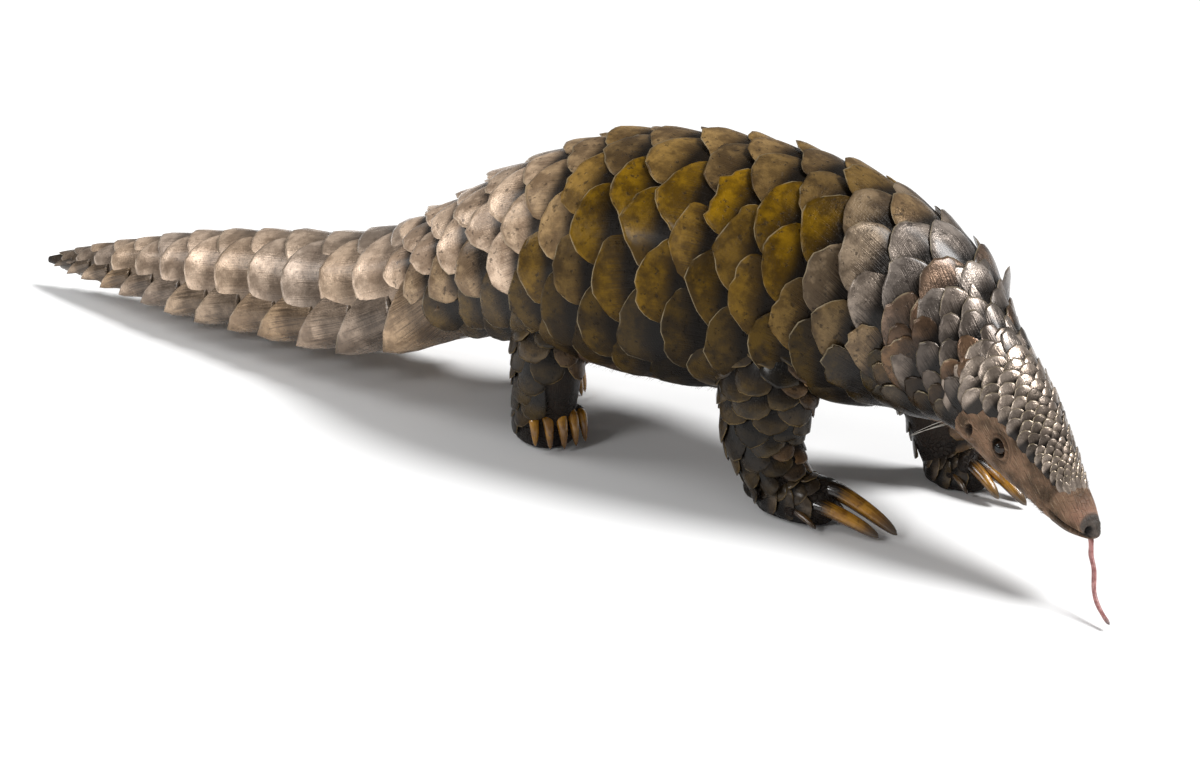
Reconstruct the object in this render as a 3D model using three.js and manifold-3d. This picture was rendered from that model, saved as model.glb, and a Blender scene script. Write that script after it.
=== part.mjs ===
// A scaly anteater, life size: head low and turned a little to its right, tongue out, tail level behind.
// Millimetres. +X runs to the nose, +Y to the animal's left, +Z up. The soles lie on Z = 0.
import * as THREE from "three";
import { mergeVertices } from "three/addons/utils/BufferGeometryUtils.js";
import Module from "manifold-3d";

const wasm = await Module();
wasm.setup();

const vec = (x, y, z) => new THREE.Vector3(x, y, z);

// Every place below is measured from the floor between the fore feet. SHIFT moves the finished animal
// so that the middle of its box, at the floor, is the origin.
const SHIFT = vec(299.677, 5.529, 0);

// Neighbouring pieces stop this far short of each other.
const GAP = 0.3;

// The body's line from nose to tail tip. At each place: the centre of the section, its half width,
// and how far it reaches above and below that centre.
const SPINE = [
  { place: "nose", at: [165, -76.5, 51.5], wide: 6.5, up: 6, down: 6 },
  { place: "muzzle", at: [152, -70, 57], wide: 13, up: 13, down: 12 },
  { place: "snout", at: [136, -62, 67], wide: 17, up: 18, down: 17 },
  { place: "cheeks", at: [120, -55, 79], wide: 22, up: 23, down: 22 },
  { place: "eyes", at: [102, -48, 93], wide: 27, up: 29, down: 28 },
  { place: "ears", at: [85, -41, 106], wide: 31, up: 33, down: 32 },
  { place: "nape", at: [64, -33, 119], wide: 35, up: 38, down: 38 },
  { place: "neck", at: [38, -24, 129], wide: 44, up: 51, down: 48 },
  { place: "withers", at: [2, -13, 141], wide: 60, up: 66, down: 62 },
  { place: "chest", at: [-58, -4, 150], wide: 76, up: 79, down: 74 },
  { place: "ribs", at: [-125, 0, 151], wide: 87, up: 84, down: 84 },
  { place: "loin", at: [-190, 0, 148], wide: 90, up: 84, down: 86 },
  { place: "haunch", at: [-250, 0, 139], wide: 87, up: 78, down: 78 },
  { place: "hips", at: [-305, -1, 124], wide: 78, up: 65, down: 62 },
  { place: "rump", at: [-355, -2, 100], wide: 67, up: 54, down: 44 },
  { place: "tail root", at: [-405, -2, 74], wide: 59, up: 52, down: 34 },
  { place: "tail thick", at: [-465, 0, 56], wide: 53, up: 49, down: 28 },
  { place: "tail middle", at: [-545, 2, 43], wide: 45, up: 48, down: 21 },
  { place: "tail thin", at: [-625, 2, 34], wide: 36, up: 42, down: 16 },
  { place: "tail slender", at: [-700, 2, 30], wide: 22, up: 26, down: 12 },
  { place: "tail end", at: [-750, 1, 27], wide: 12, up: 14, down: 9 },
  { place: "tail tip", at: [-793, 0, 23], wide: 3, up: 3, down: 3 },
];
// How square the lower half of a section is: 2 is an ellipse.
const BELLY_SQUARE = 2.6;
// The skin's own rings crowd towards the head: `even` of their spacing is regular, and the rest grows.
const CORE = { rings: 36, sides: 14, sunk: 7, sunkHead: 3, even: 0.3, hem: 0.1 };

// Scales. Steps are mm along the body from ring to ring. `half` columns lie on each side of the ridge.
const HEAD_COAT = { from: 24, to: 128, step: 10, half: 4, rise: 2.2 };
const BODY_COAT = { from: 128, to: 590, half: 6, rise: 6.5, hemRise: 2.5 };
const BODY_STEPS = { neck: 12, withers: 15, ribs: 18.5, haunch: 15.5, rump: 14.5 };
const TAIL_COAT = { from: 578, endGap: 26, step: 16, around: 8, rise: 5, edgeRise: 9.5, edge: 2.0 };
const LIMB_COAT = { from: 0.34, to: 0.86, step: 13.5, half: 3, rise: 3, spread: 1.9, sunk: 3, bare: 0.4 };
// how far a scale's place strays from the lattice, as shares of the steps along and across, and of its rise
const STRAY = { along: 0.12, across: 0.07, rise: 0.15 };

// Half angle of the scaled part of a section, from the ridge of the back to the hem, at each place.
const HEM = [
  { s: 0, angle: 0.4 },
  { s: 30, angle: 0.75 },
  { s: 60, angle: 0.98 },
  { s: 105, angle: 1.15 },
  { s: 128, angle: 1.75 },
  { s: 200, angle: 2.1 },
  { s: 330, angle: 2.15 },
  { s: 500, angle: 2.2 },
  { s: 600, angle: 2.35 },
];

// Face: places are mm from the nose along the body's line and the angle round from the ridge.
const EYE = { s: 78, angle: 1.57, radius: 4.6, sunk: 2.4 };
const LID = { radius: 5.2, thick: 1.7 };
const EAR = { s: 101, angle: 1.8, out: 0.4, long: 8, tall: 6.5, thick: 3.4, wall: 1.7, cupOut: 2.6 };
const MOUTH = { corner: 27, drop: 3.4, slope: 0.13, height: 1.2, depth: 3.5, lip: 1.5, opening: 2.9 };
const NOSE = { s: 3.5, radius: 6.9, above: 2.3, nostril: 1.5 };
const TONGUE_RADIUS = 1.9;
const TONGUE = [
  vec(154, -71, 50.6),
  vec(160, -74.3, 48.9),
  vec(163.9, -76.6, 46.4),
  vec(165.4, -78.3, 42),
  vec(166.8, -80.2, 36.5),
  vec(171.4, -85, 29.3),
  vec(175, -91, 18.5),
  vec(179.6, -96, 12.5),
  vec(186.1, -101, 7.8),
  vec(192.4, -105.5, 4.6),
];

// Limbs from inside the trunk to the ankle: centre, half size fore and aft, half size side to side.
// `side` is -1 on the animal's right and +1 on its left.
const FORE_LIMB = [
  { at: [-72, -54, 132], deep: 30, wide: 22 },
  { at: [-81, -58, 104], deep: 34, wide: 24 },
  { at: [-82, -59, 80], deep: 35, wide: 25 },
  { at: [-82, -60, 54], deep: 31, wide: 23 },
  { at: [-72, -60, 32], deep: 24, wide: 20 },
  { at: [-63, -60, 18], deep: 19, wide: 17 },
];
const FORE_LIMB_AHEAD = [
  { at: [-34, -48, 132], deep: 30, wide: 22 },
  { at: [-26, -52, 104], deep: 33, wide: 24 },
  { at: [-13, -57, 80], deep: 33, wide: 24 },
  { at: [-4, -61, 54], deep: 29, wide: 22 },
  { at: [-1, -65, 34], deep: 23, wide: 19 },
  { at: [3, -69, 18], deep: 19, wide: 17 },
];
const HIND_LIMB = [
  { at: [-262, -46, 120], deep: 32, wide: 22 },
  { at: [-262, -52, 92], deep: 30, wide: 24 },
  { at: [-262, -54, 68], deep: 27, wide: 23 },
  { at: [-263, -52, 44], deep: 25, wide: 21 },
  { at: [-265, -48, 22], deep: 21, wide: 20 },
];
const LIMBS = [
  {
    name: "foreleg_right",
    foot: "forefoot_right",
    side: -1,
    line: FORE_LIMB,
    step: 0,
    kind: "fore",
    ankle: [-64, -60],
    heading: -2,
    reach: 1,
  },
  {
    name: "foreleg_left",
    foot: "forefoot_left",
    side: 1,
    line: FORE_LIMB_AHEAD,
    step: 0,
    kind: "fore",
    ankle: [5, 71],
    heading: -8,
    reach: 0.82,
  },
  {
    name: "hindleg_right",
    foot: "hindfoot_right",
    side: -1,
    line: HIND_LIMB,
    step: 0,
    kind: "hind",
    ankle: [-268, -46],
    heading: -26,
    reach: 1,
  },
  {
    name: "hindleg_left",
    foot: "hindfoot_left",
    side: 1,
    line: HIND_LIMB,
    step: -52,
    kind: "hind",
    ankle: [-320, 46],
    heading: 20,
    reach: 1,
  },
];
// `step` moves a limb forward by this share of it at the trunk, and by all of it at the ankle.
const STEP_AT_TRUNK = 0.4;

// Feet in their own frame: x forward along the heading from under the ankle, y outward, z up.
// `bend` is the share of a claw's drop that comes from its arch: 0 is a straight claw.
const FEET = {
  fore: {
    middle: [9, -3, 12],
    half: [32, 18.5, 20],
    heel: { at: [-18, 6, 18], half: [10, 9, 11] },
    bend: 0.4,
    claws: [
      { name: "thumb", root: [19, -19, 13], length: 18, wide: 7, tall: 6, turn: -15, drop: 9, toe: 0 },
      { name: "second", root: [33, -15, 22], length: 32, wide: 11, tall: 11, turn: -9, drop: 16, toe: 8 },
      { name: "third", root: [37, -6, 24], length: 48, wide: 14, tall: 13.5, turn: -4, drop: 21, toe: 10 },
      { name: "fourth", root: [31, 5, 15], length: 46, wide: 13.5, tall: 12.5, turn: -3, drop: 12, toe: 9 },
      { name: "fifth", root: [19, 14, 10], length: 18, wide: 7, tall: 6, turn: 11, drop: 7, toe: 0 },
    ],
  },
  hind: {
    middle: [-2, -1, 14],
    half: [25, 23, 21],
    bend: 1,
    claws: [
      { name: "first", root: [16, -20, 24], length: 8, wide: 9, tall: 8, turn: -6, drop: 20, toe: 0 },
      { name: "second", root: [18, -10.5, 26], length: 9, wide: 9.5, tall: 8.5, turn: -3, drop: 23, toe: 0 },
      { name: "third", root: [18, -0.5, 27], length: 9.5, wide: 10, tall: 9, turn: 0, drop: 24.5, toe: 0 },
      { name: "fourth", root: [15.5, 9, 26], length: 9, wide: 9.5, tall: 8.5, turn: 5, drop: 23, toe: 0 },
      { name: "fifth", root: [11, 17.5, 24], length: 8, wide: 9, tall: 8, turn: 12, drop: 19, toe: 0 },
    ],
  },
};
const CLAW = { sides: 5, rings: 4, point: 0.9, rooted: 7, blunt: 3, narrow: 0.2 };
const TOE = { over: 1.8, ahead: 2, lower: 1 };

// Where the body is parted, in mm from the nose, and the name of the piece in front of each cut.
const CUTS = [
  { at: 122, front: "head" },
  { at: 185, front: "neck" },
  { at: 575, front: "torso" },
  { at: 720, front: "tail_base" },
  { at: 870, front: "tail_middle" },
];
const LAST_PIECE = "tail_end";

function finish(color, roughness, metalness = 0) {
  return new THREE.MeshStandardMaterial({ color, roughness, metalness });
}

const COLOURS = {
  skin: () => finish(0x8a6f5a, 0.75),
  greyScale: () => finish(0x837a70, 0.38, 0.1),
  oliveScale: () => finish(0x7d6532, 0.42, 0.05),
  tailScale: () => finish(0x8d7c6e, 0.35, 0.1),
  limbScale: () => finish(0x4f4336, 0.5),
  claw: () => finish(0xa8742c, 0.35),
  eye: () => finish(0x120d0a, 0.08),
  tongue: () => finish(0xb07a74, 0.45),
};

const knots = SPINE.map((p) => [...p.at, p.wide, p.up, p.down]);
const mileage = [0];
for (let i = 1; i < knots.length; i++) {
  const [a, b] = [knots[i - 1], knots[i]];
  mileage.push(mileage[i - 1] + Math.hypot(b[0] - a[0], b[1] - a[1], b[2] - a[2]));
}
const LENGTH = mileage[mileage.length - 1];
const placeOf = (name) => mileage[SPINE.findIndex((p) => p.place === name)];

function blend(a, b, m, n, t) {
  const t2 = t * t;
  const t3 = t2 * t;
  return a * (2 * t3 - 3 * t2 + 1) + m * (t3 - 2 * t2 + t) + b * (3 * t2 - 2 * t3) + n * (t3 - t2);
}

function station(s) {
  let i = 0;
  while (i < mileage.length - 2 && s > mileage[i + 1]) i++;
  const h = mileage[i + 1] - mileage[i];
  const slope = (j, k) => {
    const a = Math.max(0, j - 1);
    const b = Math.min(knots.length - 1, j + 1);
    return (knots[b][k] - knots[a][k]) / (mileage[b] - mileage[a]);
  };
  const t = (s - mileage[i]) / h;
  return knots[i].map((a, k) => blend(a, knots[i + 1][k], slope(i, k) * h, slope(i + 1, k) * h, t));
}

function sectionAt(s) {
  const a = station(Math.max(0, s - 3));
  const b = station(Math.min(LENGTH, s + 3));
  const back = vec(b[0] - a[0], b[1] - a[1], b[2] - a[2]).normalize();
  const left = back.clone().cross(vec(0, 0, 1)).normalize();
  const up = left.clone().cross(back).normalize();
  const [x, y, z, wide, rise, drop] = station(s);
  return { centre: vec(x, y, z), back, left, up, wide, rise, drop };
}

// A point of the body's surface, `angle` round from the ridge of the back (+ to the left), `out` mm proud.
function bodySurface(s, angle, out = 0) {
  const f = sectionAt(s);
  const c = Math.cos(angle);
  const n = Math.sin(angle);
  const power = c > 0 ? 1 : 2 / BELLY_SQUARE;
  const y = Math.sign(n) * Math.abs(n) ** power * (f.wide + out);
  const z = Math.sign(c) * Math.abs(c) ** power * ((c > 0 ? f.rise : f.drop) + out);
  return f.centre.clone().addScaledVector(f.left, y).addScaledVector(f.up, z);
}

// Distances round a section from the ridge of the back, one every few degrees. A section is kept for each
// TAPE_STEP mm of the body.
const TAPE_STEP = 4;
const TURN_STEPS = 72;
const TURN = (2 * Math.PI) / TURN_STEPS;
const tapes = new Map();
function tapeAt(s) {
  const key = Math.round(s / TAPE_STEP);
  if (!tapes.has(key)) {
    const tape = [0];
    for (let k = 1; k <= TURN_STEPS; k++) {
      const [a, b] = [bodySurface(key * TAPE_STEP, (k - 1) * TURN), bodySurface(key * TAPE_STEP, k * TURN)];
      tape.push(tape[k - 1] + a.distanceTo(b));
    }
    tapes.set(key, tape);
  }
  return tapes.get(key);
}

// The angle that lies `reach` mm round the section from the ridge of the back.
function bodyAngle(s, reach) {
  const tape = tapeAt(s);
  const whole = tape[TURN_STEPS];
  const turns = Math.floor(reach / whole);
  const rest = reach - turns * whole;
  let k = 1;
  while (tape[k] < rest) k++;
  return 2 * Math.PI * turns + TURN * (k - 1 + (rest - tape[k - 1]) / (tape[k] - tape[k - 1]));
}

const girthTo = (s, angle) => tapeAt(s)[Math.round(angle / TURN)];

// Turns a closed geometry into a solid. One that was mirrored on the way is turned the right way out.
function closed(geometry, tolerance = 1e-4) {
  const g = geometry.clone();
  g.deleteAttribute("normal");
  g.deleteAttribute("uv");
  return mergeVertices(g, tolerance);
}

function signedVolume(g) {
  const p = g.attributes.position;
  const [a, b, c] = [vec(), vec(), vec()];
  let sum = 0;
  for (let k = 0; k < g.index.count; k += 3) {
    a.fromBufferAttribute(p, g.index.getX(k));
    b.fromBufferAttribute(p, g.index.getX(k + 1));
    c.fromBufferAttribute(p, g.index.getX(k + 2));
    sum += a.dot(b.cross(c)) / 6;
  }
  return sum;
}

function solid(geometry, tolerance = 1e-4) {
  const g = closed(geometry, tolerance);
  const triVerts = new Uint32Array(g.index.array);
  if (signedVolume(g) < 0) triVerts.reverse();
  const vertProperties = new Float32Array(g.attributes.position.array);
  return new wasm.Manifold(new wasm.Mesh({ numProp: 3, vertProperties, triVerts }));
}

const join = (...solids) => solids.reduce((a, b) => a.add(b));

// Moves every point of a shape to where `place(x, y, z)` says.
function reshape(geometry, place) {
  const g = closed(geometry);
  const p = g.attributes.position;
  for (let i = 0; i < p.count; i++) {
    const q = place(p.getX(i), p.getY(i), p.getZ(i));
    p.setXYZ(i, q.x, q.y, q.z);
  }
  return g;
}

// Keeps only the largest closed surface: crumbs of a cut and sealed pockets go.
function largest(manifold) {
  return manifold.decompose().sort((a, b) => b.volume() - a.volume())[0];
}

// Repeatable scatter between -1 and 1, from whole numbers that name a scale.
function scatter(a, b, c) {
  const v = Math.sin(a * 12.9898 + b * 78.233 + c * 37.719) * 43758.5453;
  return 2 * (v - Math.floor(v)) - 1;
}

function stepped(table, key, value, s) {
  let i = 0;
  while (i < table.length - 2 && s > table[i + 1][key]) i++;
  const t = Math.min(1, Math.max(0, (s - table[i][key]) / (table[i + 1][key] - table[i][key])));
  return table[i][value] + (table[i + 1][value] - table[i][value]) * t;
}

// The skin under the scales: a sphere drawn out along the body's line, lower where scales cover it.
function bodyCore() {
  const { rings, sides, sunk, sunkHead, even, hem } = CORE;
  const covered = (s, angle) => {
    if (s > TAIL_COAT.from) return true;
    return s > HEAD_COAT.from + 8 && Math.abs(angle) < stepped(HEM, "s", "angle", s) - hem;
  };
  return reshape(new THREE.SphereGeometry(1, sides, rings), (x, y, z) => {
    const t = Math.acos(Math.max(-1, Math.min(1, y))) / Math.PI;
    const s = LENGTH * (even * t + (1 - even) * t * t);
    if (Math.hypot(x, z) < 1e-3) return bodySurface(s, 0).lerp(bodySurface(s, Math.PI), 0.5);
    const angle = Math.atan2(z, x);
    const depth = Math.min(s > BODY_COAT.from ? sunk : sunkHead, (LENGTH - s) / 20);
    return bodySurface(s, angle, covered(s, angle) ? -depth : 0);
  });
}

// The free edge of a scale, from its point to its corner, in columns across and rings forward.
const BLUNT = { across: 0.42, forward: 0.14 };
const ROOT_DEPTH = -0.4;
// How high the rest of a scale stands, as shares of the rise of its point.
const RISES = { shoulder: 0.94, corner: 0.22, heart: 0.55 };

// A coat of overlapping scales as one closed solid. Rings run round the body. Every second column of a
// ring holds a scale, and the next ring fills the columns between. Scale (i, j) has its point on ring i and
// column j. Its corners come out from under the blunt points of the scales (i - 1, j - 1) and
// (i - 1, j + 1), and its root from under the point of (i - 2, j).
// `place(i, j)` gives a point's place on the skin, and `on(place, out)` the position `out` mm above the
// skin there. `rise(i, j)` is how high the point stands. `middle(i)` is the spot inside the body that
// closes the solid.
function scaleCoat({ rings, half, around, place, on, rise, middle }) {
  const points = [];
  const index = [];
  const known = new Map();
  const ringOf = [];
  const vertex = (key, ring, position) => {
    if (!known.has(key)) {
      known.set(key, ringOf.length);
      points.push(position.x, position.y, position.z);
      ringOf.push(ring);
    }
    return known.get(key);
  };
  const column = (j) => (around ? (j + around) % around : j);
  const inside = (j) => around || Math.abs(j) <= half;
  const cornerRise = (i, j) => RISES.corner * (rise(i + 1, j - 1) + rise(i + 1, j + 1));
  const between = (a, b, { across, forward }) => ({
    s: a.s + (b.s - a.s) * forward,
    reach: a.reach + (b.reach - a.reach) * across,
  });
  const point = (i, j) => vertex(`point ${i} ${column(j)}`, i, on(place(i, j), rise(i, j)));
  const under = (i, j) => vertex(`under ${i} ${column(j)}`, i, on(place(i, j), ROOT_DEPTH));
  // where the blunt point ends three scales meet, one above the other
  const shoulder = (i, j, way, level) => {
    const at = between(place(i, j), place(i - 1, j + way), BLUNT);
    const out = { top: RISES.shoulder * rise(i, j), corner: cornerRise(i, j), root: ROOT_DEPTH }[level];
    return vertex(`shoulder ${i} ${column(j)} ${way} ${level}`, i, on(at, out));
  };
  const heart = (i, j) => {
    const lean = around || Math.abs(j) < half ? 0 : -Math.sign(j);
    const share = { across: lean ? 0.3 : 0, forward: 0.85 };
    const at = between(place(i, j), place(i - 1, j + (lean || 1)), share);
    return vertex(`heart ${i} ${j}`, i, on(at, RISES.heart * rise(i, j) - ROOT_DEPTH));
  };
  const top = (i, j) => {
    const front = (way) => [
      ...(i > 1 ? [shoulder(i - 2, j, way, "root")] : []),
      shoulder(i - 1, j + way, -way, "corner"),
    ];
    const rim = [under(i - 2, j)];
    if (inside(j + 1)) rim.push(...front(1), shoulder(i, j, 1, "top"));
    rim.push(point(i, j));
    if (inside(j - 1)) rim.push(shoulder(i, j, -1, "top"), ...front(-1).reverse());
    rim.forEach((v, k) => index.push(heart(i, j), v, rim[(k + 1) % rim.length]));
  };
  // the step from a scale's free edge down to the scales it lies on
  const step = (i, j, way) => {
    const face = (a, b, c) => index.push(...(way > 0 ? [a, b, c] : [a, c, b]));
    const [high, middleLevel, low] = ["top", "corner", "root"].map((level) => shoulder(i, j, way, level));
    if (i + 2 <= rings) {
      face(point(i, j), high, middleLevel);
      face(point(i, j), middleLevel, low);
      face(point(i, j), low, under(i, j));
    }
    if (i + 1 > rings) return;
    const end = shoulder(i - 1, j + way, -way, "corner");
    face(high, end, middleLevel);
    if (i > 0) face(end, shoulder(i - 1, j + way, -way, "root"), middleLevel);
  };
  for (let i = 0; i <= rings; i++) {
    for (let j = around ? 0 : -half; j <= (around ? around - 1 : half); j++) {
      if ((i + j) % 2) continue;
      top(i, j);
      for (const way of [1, -1]) if (inside(j + way)) step(i, j, way);
    }
  }
  // every edge that only one face uses is joined to the middle of the body
  const open = new Map();
  for (let k = 0; k < index.length; k += 3) {
    for (let e = 0; e < 3; e++) {
      const [a, b] = [index[k + e], index[k + ((e + 1) % 3)]];
      if (open.has(`${b} ${a}`)) open.delete(`${b} ${a}`);
      else open.set(`${a} ${b}`, [a, b]);
    }
  }
  const inner = (v) => {
    const i = ringOf[v] < 1 ? -2 : ringOf[v] >= rings - 1 ? rings : ringOf[v];
    return vertex(`middle ${i}`, i, middle(i));
  };
  for (const [a, b] of open.values()) {
    const [c, d] = [inner(a), inner(b)];
    index.push(b, a, c);
    if (c !== d) index.push(b, c, d);
  }
  const g = new THREE.BufferGeometry();
  g.setAttribute("position", new THREE.BufferAttribute(new Float32Array(points), 3));
  g.setIndex(index);
  return g;
}

// The places of a coat's rings, two before the first scale's point and then one for every ring of points.
function ringPlaces(from, to, stepAt) {
  const places = [from];
  for (let s = from; s < to; ) {
    s += stepAt(s);
    places.push(s);
  }
  return places;
}

function bodyCoat({ places, half, around, reach, rise, seed }) {
  const rings = places.length - 3;
  const sOf = (i) => places[Math.min(places.length - 1, Math.max(0, i + 2))];
  const place = (i, j) => {
    const s = sOf(i);
    const [pitch, pace] = [reach(s, 1) - reach(s, 0), sOf(i) - sOf(i - 1)];
    return {
      s: s + STRAY.along * pace * scatter(i, j, seed),
      reach: reach(s, j) + STRAY.across * pitch * scatter(i, j, seed + 1),
    };
  };
  const on = (at, out) => {
    const s = Math.min(at.s, LENGTH);
    return bodySurface(s, bodyAngle(s, at.reach), out);
  };
  const height = (i, j) => rise(sOf(i), j) * (1 + STRAY.rise * scatter(i, j, seed + 2));
  const middle = (i) => sectionAt(sOf(i)).centre;
  return scaleCoat({ rings, half, around, place, on, rise: height, middle });
}

const hemReach = (s) => {
  const turn = stepped(HEM, "s", "angle", s) / TURN;
  const tape = tapeAt(s);
  return tape[Math.floor(turn)] + (tape[Math.ceil(turn)] - tape[Math.floor(turn)]) * (turn % 1);
};

function headCoat() {
  const { from, to, step, half, rise } = HEAD_COAT;
  return bodyCoat({
    places: ringPlaces(from, to, () => step),
    half,
    reach: (s, j) => (hemReach(s) * j) / half,
    rise: (s, j) => (Math.abs(j) === half ? 0.5 * rise : rise),
    seed: 5,
  });
}

function backCoat() {
  const { from, to, half, rise, hemRise } = BODY_COAT;
  const steps = Object.entries(BODY_STEPS).map(([place, step]) => ({ s: placeOf(place), step }));
  return bodyCoat({
    places: ringPlaces(from, to, (s) => stepped(steps, "s", "step", s)),
    half,
    reach: (s, j) => (hemReach(s) * j) / half,
    // the scales stand lower on the neck and reach their full rise behind the withers
    rise: (s, j) => (Math.abs(j) === half ? hemRise : rise * Math.min(1, 0.55 + (s - from) / 180)),
    seed: 11,
  });
}

// The tail's scales go all the way round. Columns 2 and 6 lie on its two sharp edges, `edge` round from
// the ridge.
function tailCoat() {
  const { from, endGap, step, around, rise, edgeRise, edge } = TAIL_COAT;
  const quarter = around / 4;
  const fold = (j) => ((((j + around / 2) % around) + around) % around) - around / 2;
  const reach = (s, j) => {
    const k = fold(j);
    const [top, all] = [girthTo(s, edge), girthTo(s, Math.PI)];
    const above = (Math.min(Math.abs(k), quarter) * top) / quarter;
    const below = (Math.max(Math.abs(k) - quarter, 0) * (all - top)) / quarter;
    return Math.sign(k) * (above + below) + ((j - k) / around) * 2 * all;
  };
  const taper = (s) => Math.sqrt((LENGTH - s) / (LENGTH - from));
  return bodyCoat({
    places: ringPlaces(from, LENGTH - endGap, (s) => step * (0.45 + 0.55 * taper(s))),
    around,
    reach,
    rise: (s, j) => (Math.abs(fold(j)) === quarter ? edgeRise : rise) * taper(s),
    seed: 31,
  });
}

// A limb's surface: `angle` 0 faces outward, and a quarter turn further faces forward.
function makeLimb({ side, line, step }) {
  const points = line.map((p, k) => {
    const share = STEP_AT_TRUNK + ((1 - STEP_AT_TRUNK) * k) / (line.length - 1);
    return vec(p.at[0] + step * share, -side * p.at[1], p.at[2]);
  });
  const curve = new THREE.CatmullRomCurve3(points);
  const length = curve.getLength();
  const surface = (s, angle, out = 0) => {
    const q = Math.min(1, Math.max(0, s / length));
    const down = curve.getTangent(q);
    const fore = vec(1, 0, 0).addScaledVector(down, -down.x).normalize();
    const outward = down.clone().cross(fore).normalize();
    if (outward.y * side < 0) outward.negate();
    const k = Math.min(line.length - 1.001, q * (line.length - 1));
    const [a, b] = [line[Math.floor(k)], line[Math.floor(k) + 1]];
    const size = (key) => a[key] + (b[key] - a[key]) * (k % 1);
    return curve
      .getPoint(q)
      .addScaledVector(fore, Math.sin(angle) * (size("deep") + out))
      .addScaledVector(outward, Math.cos(angle) * (size("wide") + out));
  };
  return { curve, length, surface };
}

function limbSolid(limb, grow) {
  const { from, to, step, half, rise, spread, sunk, bare } = LIMB_COAT;
  const { curve, length, surface } = makeLimb(limb);
  const shaft = reshape(new THREE.CylinderGeometry(1, 1, 1, 12, 5), (x, y, z) => {
    const q = 0.5 - y;
    if (Math.hypot(x, z) < 0.5) return curve.getPoint(q);
    const angle = Math.atan2(z, x);
    const covered = !grow && Math.abs(angle) < spread - 0.2 && q > bare;
    return surface(q * length, angle, covered ? -sunk : grow);
  });
  const places = ringPlaces(from * length, to * length, () => step);
  const seed = 50 + 7 * LIMBS.indexOf(limb);
  const sOf = (i) => places[Math.min(places.length - 1, Math.max(0, i + 2))];
  const coat = scaleCoat({
    rings: places.length - 3,
    half,
    place: (i, j) => ({
      s: sOf(i) + step * STRAY.along * scatter(i, j, seed) + (i < 0 ? -grow : grow),
      reach: (spread * j) / half + 0.05 * scatter(i, j, seed + 1),
    }),
    on: (at, out) => surface(at.s, at.reach, out + grow),
    rise: (i, j) => (Math.abs(j) === half ? 0.5 : 1) * rise * (1 + STRAY.rise * scatter(i, j, seed + 2)),
    middle: (i) => curve.getPoint(sOf(i) / length),
  });
  return join(solid(shaft), solid(coat));
}

// A foot's frame on the floor: forward along its heading, outward from the body, up.
function footPlace({ side, ankle, heading, reach }) {
  const turn = THREE.MathUtils.degToRad(heading);
  const origin = vec(ankle[0], ankle[1], 0);
  const ahead = vec(Math.cos(turn), Math.sin(turn), 0);
  const outward = vec(-Math.sin(turn), Math.cos(turn), 0).multiplyScalar(side);
  return (fx, fy, fz) => {
    const spot = origin.clone().addScaledVector(ahead, reach * fx).addScaledVector(outward, fy);
    return spot.setZ(fz);
  };
}

function footBlock(limb, grow) {
  const { middle, half, heel, claws } = FEET[limb.kind];
  const at = footPlace(limb);
  const soft = (v) => Math.sign(v) * Math.abs(v) ** 0.8;
  const pad = (centre, size, round, tiers) =>
    solid(
      reshape(new THREE.SphereGeometry(1, round, tiers), (x, y, z) => {
        const [long, wide, tall] = size.map((v) => v + grow);
        return at(centre[0] + soft(x) * long, centre[1] + soft(z) * wide, centre[2] + soft(y) * tall);
      }),
    );
  const toes = claws.filter(({ toe }) => toe).map(({ root: [x, y, z], wide, tall, toe }) =>
    pad([x - toe + TOE.ahead, y, z - TOE.lower], [toe, wide / 2 + TOE.over, tall / 2 + TOE.over], 6, 5),
  );
  const heels = heel ? [pad(heel.at, heel.half, 5, 4)] : [];
  return join(pad(middle, half, 10, 6), ...heels, ...toes);
}

// A claw: a short cylinder drawn out along an arched line to a blunt point. Its root lies inside the toe.
// Every ring stands square to the line.
function clawSolid(limb, claw, grow) {
  const at = footPlace(limb);
  const turn = THREE.MathUtils.degToRad(claw.turn);
  const { bend } = FEET[limb.kind];
  const along = (u) => {
    const reach = (u > 0 ? 0 : -grow) - CLAW.rooted + (claw.length + CLAW.rooted) * u;
    const t = Math.max(0, reach / claw.length);
    const slope = t > 0 ? (claw.drop / claw.length) * (1 - bend + 2 * bend * t) : 0;
    return {
      x: claw.root[0] + reach * Math.cos(turn),
      y: claw.root[1] + reach * Math.sin(turn),
      z: claw.root[2] - claw.drop * ((1 - bend) * t + bend * t * t),
      pitch: Math.atan(slope),
    };
  };
  return solid(
    reshape(new THREE.CylinderGeometry(1, 1, 1, CLAW.sides, CLAW.rings), (x, y, z) => {
      const u = 0.5 - y;
      const spot = along(u);
      if (Math.hypot(x, z) < 0.5) return at(spot.x, spot.y, spot.z);
      const taper = (1 - u ** CLAW.blunt) ** 0.6 * (1 - CLAW.narrow * u);
      const wide = Math.max(CLAW.point, (claw.wide / 2) * taper) + grow;
      const tall = Math.max(CLAW.point, (claw.tall / 2) * taper) + grow;
      const high = spot.z + tall * x * Math.cos(spot.pitch);
      return at(spot.x + tall * x * Math.sin(spot.pitch), spot.y + wide * z, Math.max(0.2 - grow, high));
    }),
  );
}

// The side of a block that is larger than the animal.
const BLOCK = 2400;

// A block that holds everything on the tail side of the section at `s`.
function behind(s) {
  const { centre, back } = sectionAt(s);
  const block = new THREE.BoxGeometry(BLOCK, BLOCK, BLOCK);
  block.applyQuaternion(new THREE.Quaternion().setFromUnitVectors(vec(0, 0, 1), back));
  const middle = centre.addScaledVector(back, BLOCK / 2);
  block.translate(middle.x, middle.y, middle.z);
  return solid(block);
}

function aboveFloor() {
  return solid(new THREE.BoxGeometry(BLOCK, BLOCK, BLOCK).translate(0, 0, BLOCK / 2));
}

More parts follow.
